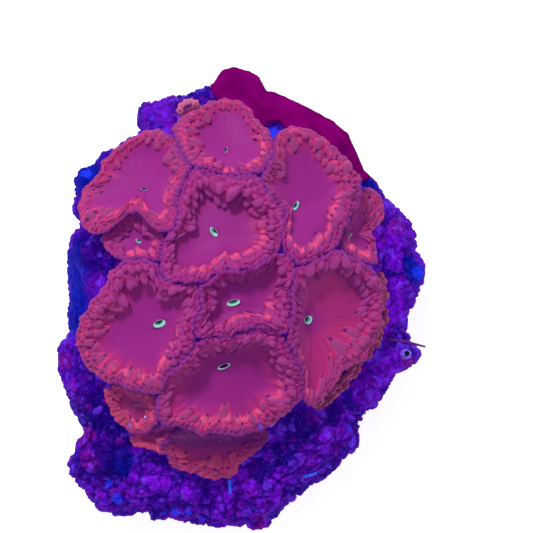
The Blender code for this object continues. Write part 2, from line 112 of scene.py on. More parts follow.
# A polyp's section, from the mouth over the rim and down
MOUTH_STEPS = (0.22, 0.45, 0.62, 0.78, 0.9, 1.0, 1.1, 1.25)
DISC_ROWS = 22
RIM_ROWS = 46
WALL_ROWS = 17
SOLE_ROWS = 3
RIM_DEEP = 13.0
LIP_REACH = 1.25
LIP_RISE = 0.5
THROAT_DROP = 1.3
SETTLE = 1.0
CREST_IN = 1.0
EDGE_DROP = 0.8
WALL_TUCK = 0.2
SOLE_WAY = -20.0

# A polyp's plan: how finely its outline is read and blurred, and how far it spreads over the solid's
OUTLINE_STEPS = 720
OUTLINE_BLUR = 5.0
SPREAD = 0.68
WIDEST_BAND = 0.56

# Beads: how they bulge sideways, lose the rim's slope and stand along its normal, the sizes that fill a rim
# (half size, tries for each square millimetre), and how many of them carry a dark dot of what half size
BULGE = 0.13
FLATTEN = 0.8
STAND = 0.4
BEAD_FIELDS = 7
MOST_BEADS = 2500
FILL = ((1.4, 0.3), (1.1, 1.4), (0.86, 3), (0.64, 4), (0.5, 2))
DOTTED_SHARE = 0.08
DOT = 0.34

# Each polyp: middle, mouth, half sizes and turn of the mouth, its depth, how sharply its disc dishes, its
# rim by direction in degrees (width of the beaded band, how beaded it is), and the vesicles that stand out
# (place, half width, half length). PLAIN holds what most polyps share: sides of the mesh, how far it sits
# below the dome, how far streaks reach in, how red the disc is, how dull the lips, how warm the flesh, how
# open the slit, and between which places in Y a painted shadow darkens the disc.
PLAIN = dict(sides=440, sunk=0, streaks=7, blush=0.0, dim=0.0, warm=0.0, gape=0.38, shadow=(98, 99))
SMALL = 260
POLYPS = {
    "polyp_top": dict(
        centre=(-6, 55), mouth=(-5.7, 51.2), lips=(1.05, 0.55), turn=75, depth=6.5, dish=2.0, streaks=3,
        blush=0.1, dim=0.8, gape=0.3,
        rim=((0, 4.5, .5), (50, 3, .3), (125, 3, .35), (165, 6.5, .7), (215, 6, .75), (270, 3, .9),
             (320, 4, .8)),
        vesicles=((-12.5, 62.3, 1.8, 2.3), (-16.4, 54, 1.7, 3.2), (6.2, 55.3, 1.8, 2.6),
                  (7.3, 49.5, 1.5, 2.2), (-17.5, 58, 1.2, 2.8), (-16.2, 50.2, 1.1, 2.4))),
    "polyp_upper_left": dict(
        centre=(-37, 40), mouth=(-33.1, 38), lips=(1.3, 0.45), turn=-5, depth=6.5, dish=2.2, streaks=3,
        dim=0.9, gape=0.3,
        rim=((0, 5, .75), (40, 4, .6), (110, 3, .3), (204, 3.2, .35), (213, 6, .45), (222, 9, .5),
             (235, 9.6, .5), (247, 8.5, .6), (262, 5.4, .6), (280, 3.1, .6), (288, 6.4, .6), (296, 9, .7),
             (304, 8.4, .75), (313, 5.6, .8), (335, 5.2, .75)),
        vesicles=((-24.4, 48.4, 2.0, 3.2), (-50.8, 29, 2.1, 2.2), (-28, 53.2, 1.3, 2.4),
                  (-49.5, 37, 1.3, 1.7))),
    "polyp_upper_right": dict(
        centre=(22, 37), mouth=(17.6, 32.5), lips=(1.5, 0.8), turn=62, depth=7, dish=2.4, streaks=4,
        rim=((0, 7, .75), (50, 6, .5), (100, 5, .35), (135, 5.5, .5), (160, 3, .7), (185, 1.8, .7),
             (215, 2.6, .8), (250, 5, .9), (310, 7, .95), (335, 7, .9)),
        vesicles=((12.2, 44, 2.1, 2.6), (17, 54, 2.2, 3.4), (34.5, 35.8, 1.6, 4.0), (25.3, 21.5, 2.3, 3.0),
                  (35.2, 45.5, 1.7, 2.2), (31.8, 28.3, 1.9, 2.6), (25.5, 53.5, 1.4, 2.4),
                  (33, 31.5, 1.3, 2.4))),
    "polyp_centre": dict(
        centre=(-6, 26), mouth=(-9.5, 23.7), lips=(1.7, 0.9), turn=-55, depth=7, dish=4.2,
        rim=((0, 7.5, .8), (50, 8.5, .95), (90, 9, 1), (130, 8, 1), (170, 5, 1), (215, 5.5, 1),
             (240, 5, .95), (270, 5, .95), (320, 6, .9)),
        vesicles=((-11.2, 37.6, 1.8, 2.6), (-7.4, 38.4, 1.6, 2.3), (-2.6, 37, 2.3, 2.7),
                  (2.2, 37.2, 1.6, 2.4), (5.6, 33.6, 1.7, 2.5), (-24.3, 21.8, 1.7, 2.4),
                  (-23.6, 18.4, 1.5, 2.6), (-24, 15.2, 1.5, 2.4), (-15.6, 36.4, 1.5, 2.0),
                  (9.5, 29, 1.0, 3.0), (9.7, 26.4, 1.0, 3.0), (9.4, 22.6, 1.2, 3.2), (9.3, 20, 1.0, 2.8))),
    "polyp_left": dict(
        centre=(-34, -8), mouth=(-27.7, -6.7), lips=(1.95, 1.15), turn=20, depth=6.5, dish=3.0, streaks=8,
        blush=0.1,
        rim=((0, 7, .95), (35, 6.5, .9), (70, 7, .95), (100, 8, .95), (135, 8, .85), (180, 6.5, .6),
             (225, 5.5, .55), (270, 5.5, .6), (300, 6, .8), (330, 7, .95)),
        vesicles=((-37.6, 7.3, 2.5, 2.2), (-41, 1, 2.3, 2.6), (-48.4, -9.6, 1.9, 2.3),
                  (-51.8, -13.4, 1.4, 2.0), (-48.3, -19.1, 1.7, 2.6), (-38.4, -23.4, 1.6, 1.9),
                  (-29.3, -26, 1.7, 2.1), (-22.6, 5, 1.9, 2.1), (-18.3, -2.6, 1.7, 1.9),
                  (-22.5, -13.5, 1.4, 2.3), (-23.3, -19.8, 1.5, 2.4), (-45, -4.5, 1.4, 1.6),
                  (-50.5, -4.6, 1.3, 1.8))),
    "polyp_middle": dict(
        centre=(1.5, 1), mouth=(-3.1, 0.25), lips=(2.1, 1.0), turn=13, depth=6.5, dish=4.4,
        rim=((0, 6.5, .85), (45, 5, .9), (90, 3.5, 1), (140, 4, 1), (180, 4.5, 1), (225, 6, 1), (270, 7, 1),
             (320, 8.5, 1)),
        vesicles=((-7.4, 7.2, 2.0, 2.6), (-3.6, 9, 1.3, 1.9), (0, 8.4, 1.5, 2.1), (3.4, 9, 1.5, 2.1),
                  (6.7, 10.8, 1.5, 2.1), (9.6, 11.6, 1.3, 1.9), (12.4, 3.2, 1.3, 2.6),
                  (12.3, -1.4, 1.2, 2.6))),
    "polyp_right": dict(
        centre=(30, -7), mouth=(21.6, -5.6), lips=(1.4, 1.15), turn=65, depth=6.8, dish=3.6, streaks=18,
        blush=1.3,
        rim=((0, 5, .8), (45, 6, .95), (80, 6.5, 1), (115, 5.5, 1), (145, 3.4, .95), (200, 2.8, .95),
             (245, 3.5, .8), (290, 6, .7), (330, 6, .75)),
        vesicles=((30, 13.8, 2.0, 2.3), (34.2, 14, 1.9, 2.3), (35.4, 10.6, 1.7, 2.2),
                  (38.6, 11.6, 1.6, 2.1), (38.4, 7.4, 2.1, 3.1), (43.3, 7.5, 1.6, 1.9),
                  (22.4, 10.8, 1.9, 2.4), (41.2, -3, 1.7, 2.5), (42.2, -6.6, 1.1, 2.2),
                  (38.6, -10.5, 1.7, 2.5), (33.6, -15.2, 2.2, 3.4), (38.6, -15.6, 1.5, 2.2),
                  (30.5, -21.2, 1.8, 2.9), (26.8, -27.6, 1.9, 3.2), (22.6, -30.6, 1.3, 2.6))),
    "polyp_lower": dict(
        centre=(-4, -26), mouth=(-6.3, -20.9), lips=(2.1, 0.8), turn=22, depth=7, dish=4.0, streaks=12,
        blush=0.25, gape=0.75, dim=0.4,
        rim=((0, 7.5, .9), (30, 7.5, .95), (60, 7, 1), (90, 6.5, 1), (125, 6, 1), (165, 5, .9),
             (205, 5, .7), (240, 5, .5), (290, 5, .5), (335, 7, .8)),
        vesicles=((-6, -37.2, 1.6, 2.7), (-18.9, -37.4, 1.7, 2.7), (10.8, -32.8, 2.1, 2.7),
                  (-12.8, -39.4, 1.4, 2.2), (-1.4, -40.2, 1.2, 2.2), (3.6, -39, 1.4, 2.4),
                  (-8.6, -14.6, 1.5, 1.9), (-2.6, -14.2, 1.7, 2.1), (2.6, -13.2, 1.7, 2.1),
                  (7.6, -12.8, 1.6, 2.0), (-12.6, -16.4, 1.5, 1.9))),
    "polyp_bottom": dict(
        centre=(-9, -51), mouth=(-8, -46.6), lips=(0.5, 0.2), turn=10, sunk=5.5, depth=4.5, dish=2.2,
        warm=0.7, dim=1, shadow=(-51, -47),
        rim=((0, 4, .6), (90, 2.5, .6), (180, 4.5, .7), (240, 5, .6), (300, 4.5, .55)),
        vesicles=((-21.6, -51.4, 1.9, 2.1), (-13.4, -55.2, 1.5, 1.9), (-4.2, -53.4, 1.5, 1.9),
                  (1.6, -48.2, 1.4, 1.9))),
    "polyp_small_left": dict(
        centre=(-35.5, 21.5), mouth=(-34.8, 20.7), lips=(0.95, 0.6), turn=-35, sunk=3.5, depth=4.5,
        dish=2.4, sides=SMALL,
        rim=((0, 4, .9), (90, 4.5, .9), (180, 4.5, .9), (270, 3.5, .8)),
        vesicles=((-40.6, 17.5, 1.1, 1.1), (-42.4, 21.6, 1.6, 2.0), (-38.6, 25.6, 1.4, 2.2),
                  (-32.6, 25.2, 1.4, 2.2))),
    "polyp_small_right": dict(
        centre=(39.6, 25.5), mouth=(35.8, 22.6), lips=(0.75, 0.5), turn=70, sunk=4.5, depth=4, dish=1.8,
        sides=SMALL,
        rim=((0, 3, .7), (70, 3.5, .6), (180, 2.5, .7), (270, 4, .8), (320, 4, .8)),
        vesicles=((42.8, 33, 1.3, 2.6), (44, 29.4, 1.3, 2.2), (43.2, 17.4, 1.5, 1.9),
                  (39.4, 17, 1.3, 1.8))),
    "polyp_small_lower_left": dict(
        centre=(-37, -36), mouth=(-35.8, -34.4), lips=(0.9, 0.35), turn=10, dim=0.8, sunk=4.5, depth=3.6,
        dish=1.9, warm=1, sides=SMALL,
        rim=((0, 3, .6), (90, 3, .7), (180, 3.5, .6), (270, 3.5, .5)),
        vesicles=((-42.8, -31.6, 1.3, 1.6), (-32, -37.6, 1.2, 1.6))),
    "polyp_bottom_left": dict(
        centre=(-30, -45.7), mouth=(-30, -45.5), lips=(0.4, 0.2), turn=0, dim=1, sunk=7, depth=2, dish=1.6,
        warm=1, shadow=(-46, -43), sides=SMALL,
        rim=((0, 2.4, .7), (180, 2.4, .7)),
        vesicles=()),
}
# Small pale spots painted on the flesh (place, half size, how pale)
SPECKS = ((-32.7, -39, 0.5, 1), (-38.5, -41, 0.6, 0.8), (5.6, -41.4, 0.9, 0.5), (9.7, -41.2, 0.7, 0.5),
          (45.5, 17.5, 0.5, 0.8))

# Flesh: the disc and its outer part, beads lit and in painted shade, bright edges, painted shade in creases,
# dots, painted shade at seams, and a glow that lifts the shade
FLESH = dict(
    disc=(143, 33, 122), outer=(160, 38, 112), body=(148, 57, 114), deep=(151, 53, 127),
    bright=(218, 59, 100), crease=(104, 20, 112), dot=(78, 14, 96), seam=(104, 26, 132), painted_shade_glow=(80, 10, 130))
DUSKY_FLESH = dict(
    disc=(96, 26, 84), outer=(106, 24, 80), body=(150, 60, 90), deep=(122, 42, 94),
    bright=(226, 84, 92), crease=(66, 12, 76), dot=(60, 22, 80), seam=(60, 22, 96), painted_shade_glow=(70, 0, 120))
BUD_FLESH = dict(
    disc=(110, 30, 100), outer=(150, 60, 110), body=(200, 100, 130), deep=(172, 80, 126),
    bright=(250, 140, 150), crease=(80, 14, 84), dot=(90, 20, 90), seam=(80, 30, 110), painted_shade_glow=(80, 0, 120))

# The camera looks straight down the dome's axis
VIEW_MIDDLE = np.array((7.83, 12.17))
VIEW_WIDTH = 177.67
VIEW_LEVEL = 58.0
VIEW_RISE = 1000.0
SENSOR = 36.0
KEY_POWER = 2.45
SURROUND_POWER = 0.42
FLOOR_GLOW = 0.75

# The rock and its crust
ROCK_VOXEL = 0.8
ROCK_MIDDLE = np.array((-2.0, 0.0))
CRUST_VOXEL = 0.6
CRUST_THICK = 2.4
CRUST_PLAN = [(-11, 95), (-11, 74.5), (-9.2, 70), (-4, 64), (4, 58), (7.4, 58.2), (8.2, 61), (12.4, 61.4),
              (13.4, 58), (24, 52), (36, 42), (39, 38.5), (41.2, 41.5), (46, 44), (70, 60), (40, 95)]
# Rounded lumps on the rock, and patches of colour on it (place, half size)
NODULES = ((12, -60, 5), (-28, -60, 4.5), (-7, -66, 4.5), (-7, -72, 4), (10, -67, 4), (20, -54, 3.5),
           (2, -62, 3.5), (-18, -64, 4), (28, -46, 4), (34, -38, 3.5), (-36, -62, 5), (46, 22, 4),
           (52, 14, 4), (53, 4, 3.5), (50, -8, 3.5))
PLAIN_NODULES = ((-46, -56, 5), (-30, 63, 6))
CALM_PATCH = (-29.5, 63, 6)
PATCHES = dict(
    blue=((-57, 45, 9), (58, 11, 5), (-50, 42, 5), (43, 42, 5), (-42, -55, 6)),
    navy=((-48, -55, 6), (-50, 18, 9), (-52, -38, 12), (-44, -46, 9), (18, -42, 8), (-38, -30, 10),
          (30, -36, 6), (-25, -48, 7), (-20, 68, 6)),
    violet=(*[(x, y, half * 1.2) for x, y, half in NODULES], (-49, 6, 4), (30, -46, 7), (22, -53, 6),
            (51, -2, 6), (48, -24, 6), (54, 6, 5), (50, 20, 6), (42, -32, 6)),
    magenta=((-54, -46, 4), (-53, -54, 4), (-20, 66, 4), (6, -76, 4), (56, -20, 4), (-61, -20, 4),
             (52, 26, 4)))
SPOTS = ((46.5, -14, 2), (10, 57.5, 2.2), (60, 11, 3), (-31, 63, 0.8), (-27, 64, 0.7), (36, -43, 1),
         (-54, 44, 2), (-45.6, -62.5, 1.4), (-43.2, -67.6, 2), (-27, -73, 1.5), (-23, -72.5, 1.6),
         (-19, -72.8, 1.6), (-14, -74, 1.5))

# The outline that the camera sees, from the crest down the right-hand side
OUTLINE = [
    (-6.3, 78.2), (-3.2, 78.8), (1.8, 77.7), (5.1, 76), (7.9, 71.9), (13.4, 69.3), (19.6, 66.3),
    (25.7, 63.2), (30.1, 60.8), (35.1, 56.6), (37.7, 51.6), (40.7, 44.3), (44.6, 40.4), (47.9, 35.4),
    (51.8, 32.1), (56.2, 27.1), (57.9, 23.2), (58.4, 17.7), (61, 12.7), (61.2, 8.8), (59.6, 4.9),
    (57.9, 0.4), (55.1, -4.6), (55.1, -8.4), (56.2, -11.2), (57.9, -14), (59.9, -16.8), (58.4, -19.6),
    (55.1, -22.3), (51.8, -22.9), (49.6, -26.8), (46.2, -32.3), (44.6, -34.8), (41.2, -36.8), (40.1, -39),
    (38.8, -43.4), (38.8, -47.9), (36.8, -50.1), (33.4, -52.3), (31.2, -55.7), (27.3, -59), (23.4, -60.7),
    (19, -64.6), (14.6, -67.9), (10.1, -73.4), (6.8, -76.8), (3.4, -77.2), (1.2, -75.1), (-3.2, -74.6),
    (-7.7, -75.1), (-12.1, -74.6), (-18.8, -73.4), (-25.4, -72.3), (-30.4, -72.6), (-31.6, -70.7),
    (-34.3, -70.3), (-37.1, -71.4), (-42.1, -71.4), (-47.7, -69.6), (-51.6, -65.7), (-54.9, -61.2),
    (-58.2, -57.3), (-59, -54.6), (-58.2, -51.2), (-56, -46.8), (-54.3, -43.4), (-54.6, -40.1),
    (-57.1, -36.2), (-58.8, -31.2), (-60.4, -26.8), (-61.9, -22.3), (-62.3, -15.1), (-59.9, -11.2),
    (-58.4, -9), (-58.8, -3.4), (-58.2, 1), (-58.8, 8.8), (-58.8, 16.6), (-57.7, 22.1), (-55.4, 25.4),
    (-55.4, 27.1), (-57.4, 31), (-56.8, 35.4), (-56.3, 42.1), (-54.3, 44.9), (-49.9, 46.6), (-47.1, 50.4),
    (-42.7, 52.1), (-36.6, 56.6), (-35.2, 59.9), (-34.9, 65.4), (-33.2, 67.1), (-28.8, 67.7), (-24.3, 69.3),
    (-18.8, 69.7), (-14.3, 71.9), (-9.9, 74.3), (-7.7, 77.1),
]

# The beads of the lower fold follow this line, and one larger bead stands by itself
FOLD_LINE = [(47.2, 9.6), (48.4, 5), (48.9, 0), (49, -5.8), (47.8, -10.6), (45.8, -14.6), (43, -18.2),
             (39.8, -21), (37.6, -25.2), (34.8, -28.6), (31.8, -31.4), (29, -33.8), (25.8, -36),
             (22.8, -37.4)]
FOLD_BEAD = (49.2, -6.2)
FOLD_SINK = 3.2
FOLD_DRAW = 0.05
FOLD_VOXEL = 0.38
BUD_VOXEL = 0.25
BUD_TURN = math.radians(25)
TUBE_FOOT = (55.4, -17.9)


def linear(colour):
    """A colour as the eye names it, made linear."""
    return tuple(v / 255 / 12.92 if v <= 10 else ((v / 255 + 0.055) / 1.055) ** 2.4 for v in colour)


def smooth(low, high, value):
    """0 at low and 1 at high, smooth in between. Low may be the larger."""
    t = np.clip((value - low) / (high - low), 0, 1)
    return t * t * (3 - 2 * t)


def span(way):
    """How long ways in plan are."""
    return np.hypot(way[..., 0], way[..., 1])


def turned(way, turn):
    """Ways in plan, measured along a turned line and across it."""
    cos, sin = math.cos(turn), math.sin(turn)
    return way[..., 0] * cos + way[..., 1] * sin, -way[..., 0] * sin + way[..., 1] * cos


class Wire:
    """A socket in a material, with the signs of plain maths."""

    def __init__(self, paint, socket):
        self.paint = paint
        self.socket = socket

    def __add__(self, other):
        return self.paint.math("ADD", self, other)

    def __sub__(self, other):
        return self.paint.math("SUBTRACT", self, other)

    def __rsub__(self, other):
        return self.paint.math("SUBTRACT", other, self)

    def __mul__(self, other):
        return self.paint.math("MULTIPLY", self, other)

    __radd__ = __add__
    __rmul__ = __mul__

    def between(self, low, high):
        """0 below low, 1 above high, smooth in between."""
        return self.paint.node("ShaderNodeMapRange", dict(interpolation_type="SMOOTHSTEP"), {
            "Value": self, "From Min": low, "From Max": high})


class Paint:
    """A material and the nodes that colour it."""

    def __init__(self, name):
        self.material = bpy.data.materials.new(name)
        self.material.use_nodes = True
        self.tree = self.material.node_tree
        self.place = self.node("ShaderNodeTexCoord", {}, {}, "Object")

    def node(self, kind, settings, values, output=0):
        made = self.tree.nodes.new(kind)
        for key, value in settings.items():
            setattr(made, key, value)
        for key, value in values.items():
            self.feed(made.inputs[key], value)
        return Wire(self, made.outputs[output])

    def feed(self, socket, value):
        if isinstance(value, Wire):
            self.tree.links.new(value.socket, socket)
        else:
            socket.default_value = (*linear(value), 1) if socket.type == "RGBA" else value

    def set(self, **values):
        shader = self.tree.nodes["Principled BSDF"]
        for key, value in values.items():
            self.feed(shader.inputs[key.replace("_", " ")], value)

    def math(self, operation, *values):
        return self.node("ShaderNodeMath", dict(operation=operation), dict(enumerate(values)))

    def layers(self, colour, *layers):
        """A colour with others laid over it in turn, each as far as its mask says."""
        for layer, mask in layers:
            values = {"Factor": mask, 6: colour, 7: layer}
            colour = self.node("ShaderNodeMix", dict(data_type="RGBA"), values, 2)
        return colour

    def marks(self, names):
        """The marks that the mesh carries, named in one line."""
        return [self.node("ShaderNodeAttribute", dict(attribute_name=name), {}, "Fac")
                for name in names.split()]

    def grain(self, size, detail, rough=0.55, distortion=0.0):
        """Cloudy noise about 0.5, with features of a size in millimetres."""
        return self.node("ShaderNodeTexNoise", {}, {
            "Vector": self.place, "Scale": 1 / (size * MM), "Detail": detail, "Roughness": rough,
            "Distortion": distortion})

    def cells(self, size):
        """How far places are from scattered middles, for cells of a size in millimetres."""
        values = {"Vector": self.place, "Scale": 1 / (size * MM)}
        return self.node("ShaderNodeTexVoronoi", {}, values, "Distance")

    def bump(self, height, strength, reach, **under):
        return self.node("ShaderNodeBump", {}, {
            "Height": height, "Strength": strength, "Distance": reach * MM, **under}, "Normal")


def flesh_paint(name, disc, outer, body, deep, bright, crease, dot, seam, painted_shade_glow):
    """Living flesh: a smooth disc, dusky vesicles with bright edges, dark dots, and violet seams, with
    painted shade in creases, seams, walls and under hanging beads, a painted highlight on crests that face
    the light, and a violet glow that lifts the shade.
    """
    p = Paint(name)
    rim, swell, edge, dots, seam_and_wall_shade, hollow, stria = p.marks("rim swell edge dot seam crease stria")
    mint, slit, shade, warm, pocket, threads = p.marks("mint slit shade warm pocket threads")
    specks, crest, plum, dim = p.marks("specks crest plum dim")
    soft, drift, fine = p.grain(7, 2), p.grain(4.5, 2), p.grain(0.9, 3, 0.6)
    # Painted shade: where the shade mark is high, bead bodies take the darker deep colour and the streaks and
    # bright edges are dimmed.
    painted_shade_dimming = 1 - shade * 0.45
    bodies = p.layers(body, (deep, (shade + (drift - 0.5) * 1.4).between(0.1, 0.95)))
    lips = p.layers((150, 222, 202), ((168, 128, 186), dim))
    colour = p.layers(
        disc,
        (outer, (rim * 0.85 + (soft - 0.5) * 0.3 + threads * 0.16).between(0.02, 0.85)),
        ((140, 40, 84), warm * 0.7),
        (bright, (stria * painted_shade_dimming).between(0.1, 0.95) * 0.43),
        (bodies, (swell * 0.9 + (soft - 0.5) * 0.3).between(0.15, 0.7) * 0.9),
        (bright, (edge * painted_shade_dimming * (0.8 + fine * 0.5)).between(0.2, 0.95) * 0.85),
        # Painted shade in the creases between beads, deeper where the shade mark is high.
        (crease, (hollow * (shade * 0.7 + 0.3) * (0.6 + fine * 0.8)).between(0.12, 0.8) * 0.95),
        ((200, 70, 86), (warm * swell).between(0.1, 0.9) * 0.65),
        # Painted shadow under beads that hang over the disc and under an overhanging neighbour.
        ((72, 14, 100), pocket * 0.35),
        ((106, 24, 122), (plum * (0.6 + fine * 0.8)).between(0.2, 1.0) * 0.45),
        # Painted highlight: bright coral on the inner crest of rims that face the key light.
        ((238, 88, 128), (crest * (0.5 + edge * 0.5 + fine * 0.5)).between(0.1, 0.9) * 0.8),
        # Painted shade in the gaps between polyps and down their outer walls.
        (seam, (seam_and_wall_shade + (fine - 0.5) * 0.6).between(0.3, 0.95) * 0.95),
        (dot, dots.between(0.15, 0.8) * 0.9),
        ((112, 84, 240), specks.between(0.1, 0.5)),
        ((206, 190, 240), specks.between(0.55, 0.9)),
        (lips, mint.between(0.3, 0.6)),
        # The slit is painted nearly black as shade in the mouth's opening.
        ((12, 14, 26), slit.between(0.35, 0.65)))
    # The violet glow is painted light: it lifts shaded flesh to violet instead of dark.
    p.set(Base_Color=colour, Emission_Color=p.layers(colour, (painted_shade_glow, 0.6)), Emission_Strength=0.22,
          Subsurface_Weight=0.1, Subsurface_Radius=(1.0, 0.35, 0.5), Subsurface_Scale=0.001,
          Roughness=0.42 + fine * 0.25, Specular_IOR_Level=0.12,
          Normal=p.bump(fine, 0.15, 0.2, Normal=p.bump(stria + threads * 0.3, 0.3, 0.25)))
    return p.material


def rock_paint():
    """Reef rock under blue light: violet and royal blue lumps, navy furrows, specks and magenta patches, with
    painted highlights on knob tops, painted shade in furrows and pits and under the polyps, and a blue glow
    that lifts the shade.
    """
    p = Paint("reef_rock")
    knob, furrow, tint, small_tint, blue, navy = p.marks("knob furrow tint small_tint blue navy")
    violet, magenta, spots, under = p.marks("violet magenta spots under")
    patches, mottle, fine = p.grain(17, 3, 0.6, 0.6), p.grain(3.0, 4, 0.65), p.grain(0.75, 3, 0.6)
    grit, other, stir = 1 - p.cells(1.8), 1 - blue * 0.85, mottle - 0.5
    # Pale flecks set on the tops of knobs, partly a painted highlight.
    flecks_and_knob_highlight = (small_tint + stir * 0.3).between(0.72, 0.86) * knob.between(0.25, 0.6) * other
    colour = p.layers(
        (38, 6, 128),
        ((104, 14, 184), (tint * 0.45 + patches * 0.9).between(0.35, 0.95)),
        ((30, 26, 190), (small_tint * 0.3 + mottle * 0.9 + blue * 0.25).between(0.62, 0.92) * 0.8),
        ((118, 12, 204), (violet * 0.75 + tint * 0.15 + stir * 1.2).between(0.35, 0.95)),
        ((4, 22, 150), (blue + stir * 0.5).between(0.4, 0.9)),
        ((16, 0, 92), (navy + stir * 0.6).between(0.35, 0.95) * 0.8),
        ((122, 8, 128), (magenta + (small_tint - 0.5) * 0.5).between(0.45, 0.85) * 0.8),
        ((112, 8, 132), (0.3 - small_tint + stir * 0.4).between(0.05, 0.25) * other * 0.6),
        # Painted highlights: paler violet on the tops of knobs and grains.
        ((112, 54, 230), flecks_and_knob_highlight * (0.2 + fine * 0.7)),
        ((112, 40, 236), (other * (knob * 0.5 + (fine + grit - 1.1) * 1.1)).between(0.4, 1.0) * 0.6),
        # Painted shade in the pits between grains and the furrows between knobs.
        ((16, 0, 84), (0.62 - grit + (fine - 0.5) * 0.4).between(0.0, 0.35) * 0.42),
        ((14, 0, 78), (furrow + stir * 0.8).between(0.35, 0.95) * 0.8),
        ((26, 52, 230), (spots + (fine + mottle - 1) * 1.6).between(0.4, 0.9) * 0.85),
        ((96, 84, 250), (fine * other).between(0.62, 0.72) * 0.5),
        # Painted shade on the rock under the polyps.
        ((84, 14, 96), under.between(0.1, 0.9)))
    # The blue glow is painted light that lifts the rock's shade to blue.
    p.set(Base_Color=colour, Emission_Color=p.layers(colour, ((30, 4, 140), 0.3)), Emission_Strength=0.56,
          Roughness=0.55 + mottle * 0.3, Specular_IOR_Level=0.02,
          Normal=p.bump(grit, 0.8, 0.9, Normal=p.bump(mottle + fine * 0.4, 1.0, 0.9)))
    return p.material


def crust_paint():
    """A smooth crimson sheet, darker in broad patches, with a thin blue edge and a faint glow that lifts its
    shade.
    """
    p = Paint("crimson_crust")
    broad, fine, pores = p.grain(14, 2), p.grain(1.4, 4, 0.6), p.cells(1.1)
    edge = p.marks("edge")[0] + (fine - 0.5) * 0.5
    colour = p.layers(
        (98, 0, 84),
        ((120, 0, 98), broad.between(0.38, 0.62)),
        ((76, 0, 96), fine.between(0.5, 0.75) * 0.5),
        ((40, 20, 190), edge.between(0.45, 0.95) * 0.8))
    # A faint glow of its own colour is painted light that lifts its shade.
    p.set(Base_Color=colour, Emission_Color=colour, Emission_Strength=0.16, Roughness=0.5 + fine * 0.2,
          Specular_IOR_Level=0.0, Normal=p.bump(fine, 0.35, 0.4, Normal=p.bump(pores, 0.15, 0.2)))
    return p.material


def trim_paint(name, light, dark):
    """A small trim piece: two close tones, a fine grain, painted shade in its hollow, and a glow that lifts
    its shade.
    """
    p = Paint(name)
    fine = p.grain(0.7, 3, 0.6)
    # The hollow mark paints shade into the piece's hollow.
    colour = p.layers(dark, (light, fine.between(0.35, 0.65)), ((6, 0, 30), p.marks("hollow")[0]))
    # The glow is painted light that lifts its shade.
    p.set(Base_Color=colour, Emission_Color=colour, Emission_Strength=0.4, Roughness=0.5 + fine * 0.2,
          Specular_IOR_Level=0.2, Normal=p.bump(fine, 0.4, 0.2))
    return p.material


def fetch(items, key, width, kind=np.float32):
    """One property of many items, as rows."""
    values = np.empty(len(items) * width, kind)
    items.foreach_get(key, values)
    return values.reshape(-1, width)


def mesh_points(mesh):
    return fetch(mesh.vertices, "co", 3).astype(float) / MM


def set_points(mesh, points):
    mesh.vertices.foreach_set("co", (points * MM).astype(np.float32).ravel())
    mesh.update()


def lift_points(mesh, points, lift):
    """A mesh's points, moved along its normals."""
    return points + fetch(mesh.vertex_normals, "vector", 3).astype(float) * lift[:, None]


def set_marks(mesh, **marks):
    """Numbers at a mesh's points, which its material reads."""
    for key, values in marks.items():
        layer = mesh.attributes.new(key, "FLOAT", "POINT")
        layer.data.foreach_set("value", np.asarray(values, np.float32))


def merge(mesh, apart):
    """Join a mesh's points that lie together."""
    work = bmesh.new()
    work.from_mesh(mesh)
    bmesh.ops.remove_doubles(work, verts=work.verts[:], dist=apart)
    work.to_mesh(mesh)
    work.free()


def keep_inside(points, box):
    """Points held just inside a box that is given in metres."""
    low, high = (np.array(corner) / MM for corner in box)
    return np.clip(points, low + BOX_CLEAR, high - BOX_CLEAR)


def dome_height(plan):
    """The height of the rims over places in plan, in the frame."""
    away = (plan - SHIFT - DOME_MIDDLE) / DOME_HALVES
    return DOME_TOP - DOME_DROP * (away * away).sum(axis=-1)


def blur_ring(values, spread):
    """Values round a ring, blurred over a number of steps."""
    waves = np.fft.rfftfreq(len(values))
    return np.fft.irfft(np.fft.rfft(values) * np.exp(-2 * (math.pi * waves * spread) ** 2), len(values))


def furthest(start, along):
    """How far lines reach round the origin, in each direction."""
    angle = np.arange(OUTLINE_STEPS)[:, None] / OUTLINE_STEPS * TAU
    cos, sin = np.cos(angle), np.sin(angle)
    with np.errstate(divide="ignore", invalid="ignore"):
        cross = cos * along[:, 1] - sin * along[:, 0]
        reach = (start[:, 0] * along[:, 1] - start[:, 1] * along[:, 0]) / cross
        share = (start[:, 0] * sin - start[:, 1] * cos) / cross
    return np.where((share >= 0) & (share <= 1) & (reach > 0), reach, 0).max(axis=1)


def plan_outline(node, centre):
    """The outline of a solid seen from above, as points all round its middle."""
    mesh = frame["nodes"][node].data
    points, ends = mesh_points(mesh), fetch(mesh.edges, "vertices", 2, np.int32)
    start = points[ends[:, 0], :2] - centre
    reach = blur_ring(furthest(start, points[ends[:, 1], :2] - centre - start), OUTLINE_BLUR)
    angle = np.arange(OUTLINE_STEPS) / OUTLINE_STEPS * TAU
    return centre + reach[:, None] * np.stack((np.cos(angle), np.sin(angle)), axis=1)


def even_ring(outline, count):
    """Points spaced evenly along a closed outline, and its length."""
    closed = np.vstack((outline, outline[:1]))
    gone = np.concatenate(((0,), np.cumsum(span(np.diff(closed, axis=0)))))
    wanted = np.arange(count) / count * gone[-1]
    return np.stack([np.interp(wanted, gone, closed[:, k]) for k in range(2)], axis=1), gone[-1]


